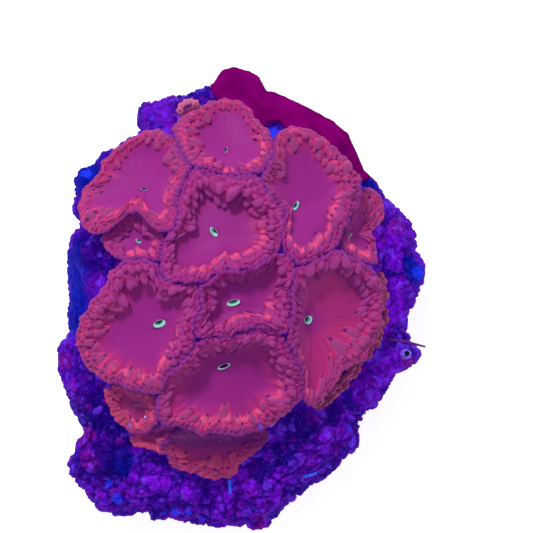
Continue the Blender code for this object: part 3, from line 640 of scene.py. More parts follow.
class Silhouette:
    """Moves the skins of the rock and its crust so that the camera sees the outline."""

    def __init__(self, *skins):
        self.eye, self.middle = VIEW_MIDDLE + SHIFT, ROCK_MIDDLE + SHIFT
        corners = np.array(OUTLINE) + SHIFT - self.middle
        self.wanted = furthest(corners, np.roll(corners, -1, axis=0) - corners)
        found = np.zeros(OUTLINE_STEPS)
        for skin in skins:
            _, way, step = self.seen(skin)
            np.maximum.at(found, step, span(way))
        self.found = blur_ring(np.maximum(found, np.maximum(np.roll(found, 1), np.roll(found, -1))), 1.2)

    def seen(self, points):
        """How near points are, and how far and in which direction the camera sees them from the middle."""
        near = VIEW_RISE / (VIEW_RISE + VIEW_LEVEL - points[:, 2])
        way = self.eye + (points[:, :2] - self.eye) * near[:, None] - ROCK_MIDDLE - SHIFT
        step = np.rint(np.arctan2(way[:, 1], way[:, 0]) / TAU * OUTLINE_STEPS).astype(int) % OUTLINE_STEPS
        return near, way, step

    def fit(self, points):
        near, way, step = self.seen(points)
        share = span(way) / self.found[step]
        gain = 1 + (self.wanted[step] / self.found[step] - 1) * smooth(0.72, 0.97, share)
        plan = self.middle + way * gain[:, None]
        return np.column_stack((self.eye + (plan - self.eye) / near[:, None], points[:, 2]))


class Saucer:
    """The plan and the section of one polyp, before it is a mesh."""

    def __init__(self, name):
        self.name, self.facts = name, dict(PLAIN, **POLYPS[name])
        self.count = self.facts["sides"]
        self.seed = sorted(POLYPS).index(name) + 11
        self.centre = np.array(self.facts["centre"], float) + SHIFT
        self.mouth = np.array(self.facts["mouth"], float) + SHIFT
        self.rim, self.length = even_ring(plan_outline(name, self.centre), self.count)
        out = self.rim - self.centre
        self.rim = self.rim + out / span(out)[:, None] * SPREAD
        self.out = self.rim - self.centre
        self.reach = span(self.out)
        self.u = np.arange(self.count) / self.count * self.length
        self.calm = blur_ring(self.reach, self.count * 0.06)
        self.even = blur_ring(self.reach, self.count * 0.02)
        directions, bands, grapes = zip(*self.facts["rim"])
        angles = np.degrees(np.arctan2(self.out[:, 1], self.out[:, 0])) % 360
        self.band, self.grape = (
            blur_ring(np.interp(angles, directions, values, period=360), self.count / 60)
            for values in (bands, grapes))
        self.band = np.minimum(self.band, WIDEST_BAND * self.reach)
        slope = np.where(self.out[:, 1] > 0, 0.3, 0.5)
        self.dish = self.facts["dish"] * (1 + slope * self.out[:, 1] / self.reach)

    def meet(self, others):
        """Mark where along the rim a neighbour lies close."""
        rims = np.vstack([other.rim for other in others if other is not self])
        gap = np.array([span(rims - point).min() for point in self.rim])
        self.seam = blur_ring(1 - smooth(1.5, 4.5, gap), 2)

    def grain(self, t, pitch, stretch, step):
        """Noise from -1 to 1 along the rim and over the way in t, which closes on itself round the rim."""
        cells = max(3, round(self.length / pitch))
        lattice = np.random.default_rng(self.seed + step).uniform(-1, 1, (cells, RIM_LATTICE + 1))
        a = (np.broadcast_to(self.u, t.shape) / self.length * cells) % cells
        b = (t / stretch + 30) % RIM_LATTICE
        i, j = np.floor(a).astype(int), np.floor(b).astype(int)
        fa, fb = smooth(0, 1, a - i), smooth(0, 1, b - j)
        i, k = i % cells, (i + 1) % cells
        low = lattice[i, j] * (1 - fa) + lattice[k, j] * fa
        high = lattice[i, j + 1] * (1 - fa) + lattice[k, j + 1] * fa
        return low * (1 - fb) + high * fb

    def lip(self):
        """The way from the mouth's middle to its lip, in the direction of each rim point."""
        way = self.rim - self.mouth
        turn = math.radians(self.facts["turn"])
        angle = np.arctan2(way[:, 1], way[:, 0]) - turn
        long, short = self.facts["lips"]
        reach = long * short / np.hypot(short * np.cos(angle), long * np.sin(angle))
        return np.stack((np.cos(angle + turn), np.sin(angle + turn)), axis=1) * reach[:, None]

    def rows(self):
        """Plan places, heights and ways in from the edge, row by row from the throat to the sole."""
        facts, reach, lip = self.facts, self.reach, self.lip()
        inner = np.minimum(RIM_DEEP, 0.6 * reach)
        start = np.clip(self.band - 3.4, CREST_IN, None)
        floor = dome_height(self.mouth) - SETTLE - facts["sunk"] - facts["depth"]
        plans, heights, ways = [], [], []

        def put(plan, height, way):
            plans.append(plan)
            heights.append(height)
            ways.append(way)

        for step in MOUTH_STEPS:
            rise = LIP_RISE * math.exp(-((step - 0.95) / 0.22) ** 2)
            rise = rise - THROAT_DROP * (1 - smooth(0.2, 0.85, step))
            put(self.mouth + lip * step, np.full(self.count, floor + rise), reach)
        shares = [(k + 1) / DISC_ROWS * (1 - inner / reach) for k in range(DISC_ROWS)]
        shares += [1 - inner / reach * (1 - (k + 1) / RIM_ROWS) for k in range(RIM_ROWS)]
        level = np.zeros(self.count)
        wave = 1.1 * self.grain(level, 11, 9, 0) + 0.5 * self.grain(level, 5, 9, 1)
        for share in shares:
            calmed = share + (self.calm / reach - 1) * share * (1 - share)
            way = (1 - calmed) * reach
            ease = (1 - (1 - share) ** 2)[:, None]
            plan = self.mouth + (self.centre - self.mouth) * ease + self.out * calmed[:, None]
            plan = plan + lip * (LIP_REACH * (1 - share) ** 3)[:, None]
            bowl = np.clip(share * self.even / (self.even - start), 0, 1)
            height = dome_height(plan) - SETTLE - facts["sunk"] - facts["depth"] * (1 - bowl ** self.dish)
            over = np.clip((CREST_IN - way) / CREST_IN, 0, 1)
            height = height - EDGE_DROP * (1 - np.sqrt(1 - over * over)) + wave * smooth(0.45, 1, bowl)
            put(plan, height, way)
        edge_height = heights[-1]
        pleat = self.grain(level, 4.5, 9, 5) + 0.6 * self.grain(level, 2.2, 9, 6)
        for k in range(WALL_ROWS):
            down = ((k + 1) / WALL_ROWS) ** 1.35
            tuck = 0.03 * smooth(0, 0.12, down) + WALL_TUCK * down
            tuck = tuck + 0.035 * math.sin(math.pi * down ** 0.6) * (pleat - 0.6)
            plan = self.centre + self.out * (1 - tuck)[:, None]
            bed = dome_height(plan) - WALL + 0.5
            height = edge_height + (bed - edge_height) * down
            put(plan, height, -(edge_height - height))
        for k in range(SOLE_ROWS):
            share = (1 - WALL_TUCK) * (1 - (k + 1) / (SOLE_ROWS + 1))
            plan = self.centre + self.out * share
            put(plan, dome_height(plan) - WALL + 0.6, np.full(self.count, SOLE_WAY))
        return np.array(plans), np.array(heights), np.array(ways)

    def side(self, u):
        return int(u / self.length * self.count) % self.count

    def turned_away(self, i):
        """How far a side of the rim faces away from the light."""
        return smooth(-0.2, 0.5, -(self.out[i] @ LIGHT_SIDE) / self.reach[i])

    def vesicles(self):
        """Beads of the rim: place along and in, half width, half length, lift, lean and dot's half size."""
        rng = np.random.default_rng(self.seed)
        beads = np.empty((MOST_BEADS, BEAD_FIELDS))
        count = 0
        mean = self.reach.mean()

        def add(u, t, wide, long, lift, lean, dot, crowd=0.8):
            """A bead, unless it would crowd the others."""
            nonlocal count
            known = beads[:count]
            du = np.abs(known[:, 0] - u)
            du = np.minimum(du, self.length - du) * (1 - t / mean)
            apart = np.hypot(du, (known[:, 1] - t) * 0.72)
            if not (apart < crowd * (known[:, 2] + wide)).any():
                beads[count] = u, t, wide, long, lift, lean, dot
                count += 1

        def some_dot():
            return DOT if rng.random() < DOTTED_SHARE else 0

        turns = np.arctan2(self.out[:, 1], self.out[:, 0])
        for x, y, wide, long in self.facts["vesicles"]:
            way = np.array((x, y)) + SHIFT - self.centre
            near = int(np.argmin(np.abs((turns - math.atan2(way[1], way[0]) + math.pi) % TAU - math.pi)))
            full = self.grape[near]
            add(self.u[near], max(0.4, self.reach[near] - math.hypot(*way)), wide,
                min(long, 1.12 * wide) if full > 0.8 else long, wide * (0.25 + 0.55 * full),
                0.2 + 0.4 * full * self.turned_away(near), 0.3 + 0.24 * wide, 0)
        place = 0.0
        while place < self.length - 1:
            pitch = rng.uniform(1.4, 2.3)
            full = self.grape[self.side(place)]
            long = 0.56 * pitch if full > 0.8 or full < 0.45 else rng.uniform(1.6, 3.0)
            add(place, rng.uniform(0.0, 0.5 + 0.8 * full ** 4), pitch * 0.54, long, 0.3 + 0.4 * full, 0,
                some_dot(), 0.55)
            place += pitch
        place = 0.0
        while place < self.length - 2:
            if self.grape[self.side(place)] < 0.7:
                add(place, rng.uniform(1.4, 2.8), rng.uniform(0.8, 1.1), rng.uniform(0.9, 1.5), 0.25, 0.1,
                    rng.uniform(0.4, 0.6), 0.4)
            place += rng.uniform(2.8, 4.6)
        area = self.length * float(self.band.mean())
        for size, tries in FILL:
            for _ in range(int(area * tries)):
                u = rng.uniform(0, self.length)
                i = self.side(u)
                t = rng.uniform(0.7, self.band[i])
                inmost = t > self.band[i] - 2.2
                if rng.random() > self.grape[i] ** 1.6 or (inmost and size < 0.8):
                    continue
                half = size * rng.uniform(0.86, 1.14) * (1.15 if inmost else 1)
                hang = 0.15 + (0.6 if inmost else 0.1) * self.turned_away(i)
                add(u, t, half, half * rng.uniform(0.95, 1.25), half * (0.5 + 0.55 * self.grape[i]), hang,
                    some_dot(), 0.72)
        return beads[:count]


def grid_normals(points):
    """Outward directions of a grid of rows and sides that closes along its sides."""
    along = np.roll(points, -1, axis=1) - np.roll(points, 1, axis=1)
    normal = np.cross(np.gradient(points, axis=0), along)
    return normal / np.maximum(np.linalg.norm(normal, axis=2, keepdims=True), 1e-9)


def bead_fields(saucer, points, ways, beads):
    """The grid with its beads swollen out of it as balls, each leaning inwards, and the marks they leave."""
    rows = np.flatnonzero((ways.min(axis=1) < 17) & (ways.max(axis=1) > -6))
    t = ways[rows]
    share = np.clip(1 - t / saucer.reach, 0.3, 1.05)
    dot, deep = np.zeros(t.shape), np.zeros(t.shape)
    nearest, which = np.full(t.shape, FAR_OFF), np.zeros(t.shape, int)
    for number, (u, way, wide, long, _, _, dotted) in enumerate(beads):
        du = (saucer.u - u + saucer.length / 2) % saucer.length - saucer.length / 2
        sides = np.flatnonzero(np.abs(du) < 3.2 * wide + 1)
        lines = np.flatnonzero((t[:, sides].min(axis=1) < way + 2 * long) &
                               (t[:, sides].max(axis=1) > way - 2 * long))
        if not len(sides) or not len(lines):
            continue
        grid = np.ix_(lines, sides)
        across = du[sides] * share[grid]
        inward = t[grid] - way
        far = np.hypot(across / wide, inward / long)
        closer = far < nearest[grid]
        which[grid] = np.where(closer, number, which[grid])
        deep[grid] = np.where(closer, inward / long, deep[grid])
        nearest[grid] = np.where(closer, far, nearest[grid])
        if dotted:
            mark = np.hypot(across, inward - 0.86 * long) / dotted
            dot[grid] = np.maximum(dot[grid], 1 - smooth(0.45, 1.35, mark))
    skin = points[rows]
    side = np.rint(beads[:, 0] / saucer.length * saucer.count).astype(int) % saucer.count
    line = np.abs(t[:, side] - beads[:, 1]).argmin(axis=0)
    middle = skin[line, side][which]
    way = skin - middle
    wide, height, lean = (beads[which, k] for k in (2, 4, 5))
    cap = np.sqrt(np.clip(1 - nearest * nearest, 0, 1))
    near = np.clip(nearest, 0, 1)
    bulge = 1 + BULGE * np.sin(math.pi * near) / np.maximum(near, 0.3) * smooth(-1.5, 0, t)
    plan = middle[..., :2] + way[..., :2] * np.where(nearest < 1, bulge, 1)[..., None]
    level = skin[..., 2] - FLATTEN * way[..., 2] * smooth(1.02, 0.5, nearest) * smooth(-0.8, 0.3, t)
    normals = grid_normals(points)[rows] * STAND + np.array((0, 0, 1 - STAND))
    normals = normals / np.maximum(np.linalg.norm(normals, axis=2, keepdims=True), 1e-6)
    lift = height * cap * smooth(-5.5, -2.5, t)
    inwards = saucer.mouth - skin[..., :2]
    inwards = inwards / np.maximum(span(inwards), 1e-6)[..., None]
    swollen = points.copy()
    swollen[rows] = np.dstack((plan + inwards * (lift * lean)[..., None], level)) + normals * lift[..., None]
    edge = np.exp(-((nearest - 0.95) / 0.17) ** 2) * (0.7 + 0.3 * smooth(-0.6, 0.9, deep))
    # The crease mark is where painted shade darkens the gaps between beads.
    marks = dict(swell=cap * np.minimum(1, wide / 1.5), edge=edge, dot=dot, crease=smooth(0.8, 1.35, nearest))
    full = {key: np.zeros(ways.shape) for key in marks}
    for key, values in marks.items():
        full[key][rows] = values
    return swollen, full


def wobble(plan):
    """The small sideways drift that every polyp's rim shares with its neighbours."""
    flat = np.column_stack((plan.reshape(-1, 2), np.zeros(plan.size // 2)))
    moved = [noise(flat, (0.55, 4.6, seed), (0.3, 2.1, seed + 1)) for seed in (31, 33)]
    return np.stack(moved, axis=-1).reshape(plan.shape)


def close_skin(name, points, throat, sole, marks):
    """A grid bent round into one closed skin, from the throat over the rim to the sole, with its marks."""
    rows, sides = points.shape[:2]
    bpy.ops.mesh.primitive_grid_add(x_subdivisions=sides, y_subdivisions=rows + 1, size=2)
    piece = bpy.context.object
    piece.name = piece.data.name = name
    mesh = piece.data
    flat = mesh_points(mesh) * MM
    side = np.rint((flat[:, 0] + 1) / 2 * sides).astype(int) % sides
    line = np.rint((flat[:, 1] + 1) / 2 * (rows + 1)).astype(int)
    row = np.clip(line - 1, 0, rows - 1)
    places = points[row, side]
    places[line == 0] = throat
    places[line == rows + 1] = sole
    set_marks(mesh, **{key: grid[row, side] for key, grid in marks.items()})
    set_points(mesh, places)
    mesh.flip_normals()
    merge(mesh, 1e-8)
    mesh.update()
    bpy.ops.object.shade_smooth()
    return piece


def mouth_marks(saucer, plans):
    """The mint lips, and the slit between them, painted dark as shade in the mouth's opening."""
    long, short = saucer.facts["lips"]
    gape = saucer.facts["gape"]
    a, b = turned(plans - saucer.mouth, math.radians(saucer.facts["turn"]))
    slit = np.hypot(a / (long * 0.8), (b - (0.8 - gape) * short) / (short * gape))
    return dict(mint=1 - smooth(0.95, 1.15, np.hypot(a / long, (b + 0.15 * short) / short)),
                slit=1 - smooth(0.75, 1.1, slit))


def flesh_marks(saucer, plans, ways, lines):
    """What the flesh's material reads besides the beads: painted shade at seams and walls, streaks, a painted
    crest highlight, warmth, painted shadows, pale spots and the painted shade of crowded rows.
    """
    facts, band = saucer.facts, saucer.band
    from_mouth = span(plans - saucer.mouth)
    fade_in = np.minimum(facts["streaks"], 0.6 * np.maximum(saucer.reach - band, 2))
    stria = smooth(-0.2, 0.9, lines) * (1 - smooth(band - 1, band + fade_in, ways)) * smooth(0.2, 1, ways)
    threads = saucer.grain(ways, 0.9, 12, 7) * smooth(3, 9, from_mouth)
    blush = facts["blush"] * smooth(1, 8, from_mouth)
    flushed = 0.85 * np.maximum(blush - 0.5, 0) * (0.8 + 0.5 * threads)
    stria = np.maximum(stria, flushed * smooth(0.2, 1, ways))
    # Painted highlight: rims that face the key light get a bright band at their inner crest.
    facing = smooth(0, 0.7, (saucer.out @ LIGHT_SIDE) / saucer.reach)
    crest = facing * np.exp(-((ways - band + 0.7) / 1.3) ** 2) * smooth(-1.0, 0.4, lines)
    crest = crest * smooth(0.1, 0.6, blur_ring(saucer.seam, saucer.count * 0.03))
    # Painted shadow under the beads that hang over the disc, and across the disc between the shadow places in
    # Y.
    hanging = smooth(0.85, 0.98, saucer.grape)
    pocket = hanging * smooth(band - 1.6, band + 0.2, ways) * (1 - smooth(band + 0.8, band + 3.4, ways))
    pocket = np.maximum(pocket, 2 * smooth(*facts["shadow"], plans[..., 1] - SHIFT[1]))
    # Painted shade down the outer wall, stronger where a neighbour lies close.
    wall_shade = smooth(-0.2, -2.5, ways) * (0.6 + 0.9 * smooth(-2, -9, ways + 1.5 * lines))
    specks = np.zeros(ways.shape)
    for x, y, half, pale in SPECKS:
        specks = np.maximum(specks, pale * (1 - smooth(0.6, 1.3, span(plans - SHIFT - (x, y)) / half)))
    return dict(
        stria=stria, threads=threads, crest=crest, pocket=pocket, specks=specks,
        rim=np.maximum(1 - smooth(band - 2, band + fade_in, ways), blush),
        seam=np.maximum(saucer.seam * smooth(0.65, -0.1, ways), wall_shade * (0.35 + 0.65 * saucer.seam)),
        plum=saucer.seam * smooth(2.6, 0.2, ways),
        # The shade mark paints the crowded rows darker and duskier, as in shade.
        shade=np.broadcast_to(smooth(0.6, 0.95, saucer.grape), ways.shape),
        warm=np.full(ways.shape, facts["warm"]), dim=np.full(ways.shape, facts["dim"]))


def build_polyp(saucer, material):
    """One polyp: a dished disc, a mint mouth, and a rim of fused beads."""
    plans, heights, ways = saucer.rows()
    points = np.dstack((plans, heights))
    normals = grid_normals(points)
    points, beaded = bead_fields(saucer, points, ways, saucer.vesicles())
    points[..., :2] += wobble(plans) * smooth(8, 3, ways)[..., None]
    lines = saucer.grain(ways, 1.5, 9, 2) + 0.6 * saucer.grain(ways, 0.8, 6, 3)
    ribs = 0.35 * lines * smooth(-1, -3, ways) * smooth(-13, -9, ways)
    points = points + normals * ribs[..., None]
    # Painted crease shade stays on the beaded band.
    beaded["crease"] *= smooth(saucer.band + 0.6, saucer.band - 1.2, ways) * smooth(-3, 0, ways)
    marks = dict(beaded, **mouth_marks(saucer, plans), **flesh_marks(saucer, plans, ways, lines))
    throat = (*saucer.mouth, heights[0].mean() - 0.2)
    sole = (*saucer.centre, dome_height(saucer.centre) - WALL + 1.2)
    piece = close_skin(saucer.name + "_flesh", points, throat, sole, marks)
    dress(piece, material)
    return piece


def finish_piece(piece, slot, *nodes):
    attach(piece, "root")
    if nodes:
        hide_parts(*nodes)


def dress(piece, material):
    piece.data.materials.clear()
    piece.data.materials.append(material)


def pick(*pieces):
    """Select pieces and nothing else, the first of them active."""
    bpy.ops.object.select_all(action="DESELECT")
    for piece in pieces:
        piece.select_set(True)
    bpy.context.view_layer.objects.active = pieces[0]


def apply_all(piece):
    pick(piece)
    for modifier in list(piece.modifiers):
        bpy.ops.object.modifier_apply(modifier=modifier.name)


def copy_piece(source, name):
    piece = source.copy()
    piece.data = source.data.copy()
    piece.name = piece.data.name = name
    bpy.context.scene.collection.objects.link(piece)
    return piece


def copy_solid(node, name):
    """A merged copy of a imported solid, to be worked on."""
    piece = copy_piece(frame["nodes"][node], name)
    piece.parent = None
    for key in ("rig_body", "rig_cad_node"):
        if key in piece:
            del piece[key]
    piece.data.materials.clear()
    merge(piece.data, 1e-6)
    return piece


def remesh(piece, voxel, rounds):
    """Fuse a piece's bodies into one even skin, then soften it."""
    fuse = piece.modifiers.new("fuse", "REMESH")
    fuse.mode = "VOXEL"
    fuse.voxel_size = voxel * MM
    piece.modifiers.new("soften", "SMOOTH").iterations = rounds
    apply_all(piece)


def lattice_noise(points, size, seed):
    """Smooth noise from -1 to 1 over space."""
    lattice = np.random.default_rng(seed).uniform(-1, 1, (LATTICE, LATTICE, LATTICE))
    scaled = points / size + 200
    cell = np.floor(scaled).astype(int)
    part = smooth(0, 1, scaled - cell)
    total = 0
    for corner in np.ndindex(2, 2, 2):
        weight = np.ones(len(points))
        for axis in range(3):
            weight = weight * (part[:, axis] if corner[axis] else 1 - part[:, axis])
        i, j, k = ((cell + corner) % LATTICE).T
        total = total + weight * lattice[i, j, k]
    return total


def noise(points, *layers):
    """Noise over space in layers (strength, size, seed)."""
    return sum(strength * lattice_noise(points, size, seed) for strength, size, seed in layers)


def wander(points, size, *seeds):
    """Noise over space in several directions."""
    return np.column_stack([lattice_noise(points, size, seed) for seed in seeds])


def lumps(points, size, seed):
    """Rounded knobs: how high on its knob each place is, how near a furrow, and a number for its knob."""
    rng = np.random.default_rng(seed)
    cube = (KNOB_LATTICE, KNOB_LATTICE, KNOB_LATTICE)
    middles, numbers = rng.uniform(0.1, 0.9, (*cube, 3)), rng.uniform(0, 1, cube)
    scaled = points / size + 160
    cell = np.floor(scaled).astype(int)
    first, second, which = np.full(len(points), FAR_OFF), np.full(len(points), FAR_OFF), np.zeros(len(points))
    for shift in np.ndindex(3, 3, 3):
        near = cell + np.array(shift) - 1
        i, j, k = (near % KNOB_LATTICE).T
        far = np.linalg.norm(near + middles[i, j, k] - scaled, axis=1)
        closer = far < first
        second = np.where(closer, first, np.minimum(second, far))
        which = np.where(closer, numbers[i, j, k], which)
        first = np.minimum(first, far)
    return np.clip(1 - (first / 0.85) ** 2, -0.4, 1), 1 - smooth(0.02, 0.24, second - first), which


def inside(plan, polygon):
    """Which places lie inside a polygon."""
    corners = np.array(polygon, float)
    x, y = plan.T
    found = np.zeros(len(plan), bool)
    for (ax, ay), (bx, by) in zip(corners, np.roll(corners, -1, axis=0)):
        with np.errstate(divide="ignore", invalid="ignore"):
            found ^= ((ay > y) != (by > y)) & (x < (bx - ax) * (y - ay) / (by - ay) + ax)
    return found


def patch(points, spots, warp=2.0):
    """How strongly places lie in soft ragged patches (x, y, half size) of the upper side."""
    plan = points[:, :2] - SHIFT + warp * wander(points, 4, 21, 22)
    total = np.zeros(len(points))
    for x, y, half in spots:
        total = np.maximum(total, 1 - smooth(0.45, 1.35, span(plan - (x, y)) / half))
    return total * smooth(8, 20, points[:, 2] + 5 * lattice_noise(points, 9, 23))


def shape_rock(rock, crust, saucers):
    """Knobs, ledges and pits over the bare rock, none on its flat face, and less under the crust."""
    mesh = rock.data
    points = mesh_points(mesh)
    height, plan = points[:, 2], points[:, :2] - SHIFT
    bare = smooth(0.5, 5, height)
    knob, furrow, tint = lumps(points + 2.2 * wander(points, 5, 1, 41, 42), 5.6, 2)
    bead, groove, small_tint = lumps(points + 0.9 * wander(points, 2.4, 3, 43, 44), 2.7, 4)
    beaded = smooth(-0.5, 0.2, lattice_noise(points, 19, 8))
    big = 0.55 + 0.45 * smooth(-30, -50, plan[:, 1])
    lift = big * (1.8 * (knob - 0.4) - 0.4 * furrow) + (0.7 + 0.9 * beaded) * (bead - 0.4) - 0.3 * groove
    lift = lift + noise(points, (0.7, 2.2, 5), (1.7, 13, 7))
    lift = lift + 2.6 * lattice_noise(points, 27, 11) * smooth(44, 30, height)
    for x, y, half in NODULES + PLAIN_NODULES:
        far = span(plan - (x, y)) / half
        lift = lift + 1.6 * np.sqrt(np.clip(1 - far * far, 0, 1)) * smooth(12, 22, height)
    ragged = noise(points, (6, 8, 45), (3, 3, 46))
    band = smooth(-50, -57, plan[:, 0] + 0.3 * ragged) * smooth(25, 11, np.abs(plan[:, 1] - 6) + ragged)
    band = band * smooth(14, 30, height + 1.5 * ragged)
    calm = 1 - np.maximum(0.5 * band, 0.55 * patch(points, (CALM_PATCH,)))
    lift = lift * calm
    under = inside(plan, CRUST_PLAN) & (height > 8)
    lift = np.where(under, np.minimum(lift, 0) * 0.4 - 0.9, lift)
    points = lift_points(mesh, points, lift * bare)
    fitted = Silhouette(points, mesh_points(crust.data))
    points = keep_inside(fitted.fit(points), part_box("rock"))
    points[:, 2] = np.where(bare == 0, 0.0, np.maximum(points[:, 2], 0.0))
    set_points(mesh, points)
    set_points(crust.data, fitted.fit(mesh_points(crust.data)))
    patches = {name: patch(points, spots) for name, spots in PATCHES.items()}
    patches["blue"] = np.maximum(band, patches["blue"])
    plan, height = mesh_points(mesh)[:, :2], mesh_points(mesh)[:, 2]
    # The rock under the polyps' plans, near their feet, is marked for painted shade.
    shaded = np.zeros(len(points), bool)
    for saucer in saucers:
        shaded |= inside(plan, saucer.rim[::8])
    set_marks(mesh, **patches, spots=patch(points, SPOTS, 1.5), tint=tint, small_tint=small_tint,
              knob=(0.6 * knob + 0.4 * bead) * calm, furrow=np.maximum(furrow * big, 0.75 * groove) * calm,
              under=shaded * smooth(-9, -5, height - dome_height(plan) + WALL))
    pick(rock)
    bpy.ops.object.shade_smooth()


def crust_foot(points):
    """How far down the rock the crust reaches."""
    return 19 + noise(points, (11, 14, 12), (4, 5, 15))


def build_crust(base):
    """The crimson sheet: a thickened copy of the rock's skin where it spreads, fused and softened."""
    crust = copy_piece(base, "crimson_sheet")
    mesh = crust.data
    work = bmesh.new()
    work.from_mesh(mesh)
    points = mesh_points(mesh)
    stray = np.column_stack([noise(points, (1, 11, seed), (0.5, 4, seed + 30)) for seed in (16, 17)])
    stray = stray * (0.8 + 10 * smooth(32, 12, points[:, 2]))[:, None]
    kept = inside(points[:, :2] - SHIFT + stray, CRUST_PLAN) & (points[:, 2] > crust_foot(points))
    work.verts.ensure_lookup_table()
    bmesh.ops.delete(work, geom=[v for v, keep in zip(work.verts, kept) if not keep], context="VERTS")
    island = max_island(work)
    bmesh.ops.delete(work, geom=[v for v in work.verts if v not in island], context="VERTS")
    work.to_mesh(mesh)
    work.free()
    sheet = crust.modifiers.new("thickness", "SOLIDIFY")
    sheet.thickness = CRUST_THICK * MM
    sheet.offset = 0.6
    remesh(crust, CRUST_VOXEL, 10)
    points = mesh_points(mesh)
    points = lift_points(mesh, points, noise(points, (0.5, 9, 13), (0.2, 3, 14)))
    points = keep_inside(points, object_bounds())
    set_points(mesh, points)
    set_marks(mesh, edge=1 - smooth(-1, 4, points[:, 2] - crust_foot(points)))
    bpy.ops.object.shade_smooth()
    dress(crust, crust_paint())
    return crust


def max_island(work):
    """The largest joined set of a mesh's points."""
    left, best = set(work.verts), set()
    while left:
        stack = [left.pop()]
        island = set(stack)
        while stack:
            near = {vert for edge in stack.pop().link_edges for vert in edge.verts} & left
            left -= near
            island |= near
            stack.extend(near)
        best = max(best, island, key=len)
    return best


def add_bead(middle, halves, turn):
    """A ball stretched to half sizes and turned about Z."""
    bpy.ops.mesh.primitive_uv_sphere_add(segments=20, ring_count=12, radius=1, location=Vector(middle) * MM)
    ball = bpy.context.object
    ball.scale = Vector(halves) * MM
    ball.rotation_euler = (0, 0, turn)
    bpy.ops.object.transform_apply(location=True, rotation=True, scale=True)
    return ball


def mark_beads(mesh, beads, seam):
    """The flesh marks of a fused row of beads."""
    points = mesh_points(mesh)
    nearest, second, own = (np.full(len(points), FAR_OFF) for _ in range(3))
    swell, dot = np.zeros(len(points)), np.zeros(len(points))
    for middle, halves, turn in beads:
        way = points - middle
        a, b = turned(way, turn)
        far = np.sqrt((a / halves[0]) ** 2 + (b / halves[1]) ** 2 + (way[:, 2] / halves[2]) ** 2)
        flat = np.hypot(a / halves[0], b / halves[1])
        own = np.where(far < nearest, flat, own)
        second = np.minimum(second, np.maximum(nearest, far))
        nearest = np.minimum(nearest, far)
        swell = np.maximum(swell, np.sqrt(np.clip(1 - flat * flat, 0, 1)))
        dot = np.maximum(dot, 1 - smooth(0.14, 0.3, np.hypot(a / halves[0] + 0.75, b / halves[1])))
    zeros = np.zeros(len(points))
    plain = dict.fromkeys("warm dim crest plum stria mint slit threads pocket specks".split(), zeros)
    parted = smooth(0.05, 0.3, second - nearest)
    # The crease mark paints shade between the beads, and the shade mark is set half way.
    set_marks(mesh, **plain, shade=zeros + 0.5, rim=zeros + 1, swell=swell, dot=dot * 0.8, seam=zeros + seam,
              edge=np.exp(-((own - 0.85) / 0.14) ** 2) * parted * 0.8,
              crease=np.maximum(smooth(1.0, 1.3, nearest), (1 - parted) * smooth(0.6, 0.9, nearest)))


def fuse_beads(piece, beads, voxel, rounds, seam, material):
    """Fuse beads (middle, half sizes, turn) into a piece and paint it."""
    pick(piece, *[add_bead(*bead) for bead in beads])
    bpy.ops.object.join()
    remesh(piece, voxel, rounds)
    mark_beads(piece.data, beads, seam)
    dress(piece, material)
    bpy.ops.object.shade_smooth()
    return piece


def build_fold(material):
    """The dusky lower fold: its solid with two rows of beads fused along the outer line."""
    fold = copy_solid("polyp_right_fold", "lower_fold_flesh")
    rng = np.random.default_rng(77)
    centre = np.array(POLYPS["polyp_right"]["centre"]) + SHIFT
    sunk = mesh_points(fold.data)
    sunk[:, :2] += (centre - sunk[:, :2]) * FOLD_DRAW
    set_points(fold.data, sunk - (0, 0, FOLD_SINK))
    beads = []
    for (ax, ay), (bx, by) in zip(FOLD_LINE, FOLD_LINE[1:]):
        for share, row in ((0.0, 0), (0.25, 1), (0.5, 0), (0.75, 1)):
            plan = np.array((ax + (bx - ax) * share, ay + (by - ay) * share)) + SHIFT
            turn = math.atan2(plan[1] - centre[1], plan[0] - centre[0])
            half = rng.uniform(1.0, 1.7)
            plan = plan - np.array((math.cos(turn), math.sin(turn))) * (rng.uniform(0.6, 1.8) + 1.9 * row)
            z = float(dome_height(plan)) - WALL + rng.uniform(2.4, 4.6) + 1.2 * row
            beads.append(((*plan, z), (half * 1.2, half, half * 1.3), turn))
    big = np.array(FOLD_BEAD) + SHIFT
    beads.append(((*(big - (1.2, 0)), float(dome_height(big)) - WALL + 3.6), (1.7, 1.6, 1.7), 0.0))
    return fuse_beads(fold, beads, FOLD_VOXEL, 3, 0.12, material)


def build_bud(material):
    """The pale bud: a cluster of small frills on its solid."""
    bud = copy_solid("polyp_bud", "bud_flesh")
    low, high = (np.array(corner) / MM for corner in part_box("polyp_bud"))
    middle = (low + high) / 2
    rng = np.random.default_rng(5)
    beads = []

    def add(u, v, z, halves):
        x = middle[0] + u * math.cos(BUD_TURN) - v * math.sin(BUD_TURN)
        y = middle[1] + u * math.sin(BUD_TURN) + v * math.cos(BUD_TURN)
        beads.append(((x, y, z), halves, math.atan2(v, u) + BUD_TURN))

    for k in range(26):
        outer = k > 12
        angle = TAU * k / 13 + (0.24 if outer else 0)
        grow = (1.0 if outer else 0.62) * rng.uniform(0.85, 1.1)
        z = high[2] - (1.1 if outer else 1.7) + rng.uniform(-0.4, 0.4)
        add(2.4 * grow * math.cos(angle), 1.3 * grow * math.sin(angle), z, (0.62, 0.4, 0.75))
    for level in (1, 2, 3):
        for k in range(10):
            angle = TAU * (k + 0.5 * level) / 10
            reach = np.array((2.5, 1.6)) + 0.35 * level + rng.uniform(-0.2, 0.2)
            add(*reach * (math.cos(angle), math.sin(angle)), high[2] - 1.2 - 1.9 * level, (0.8, 0.7, 1.2))
    return fuse_beads(bud, beads, BUD_VOXEL, 2, 0, material)


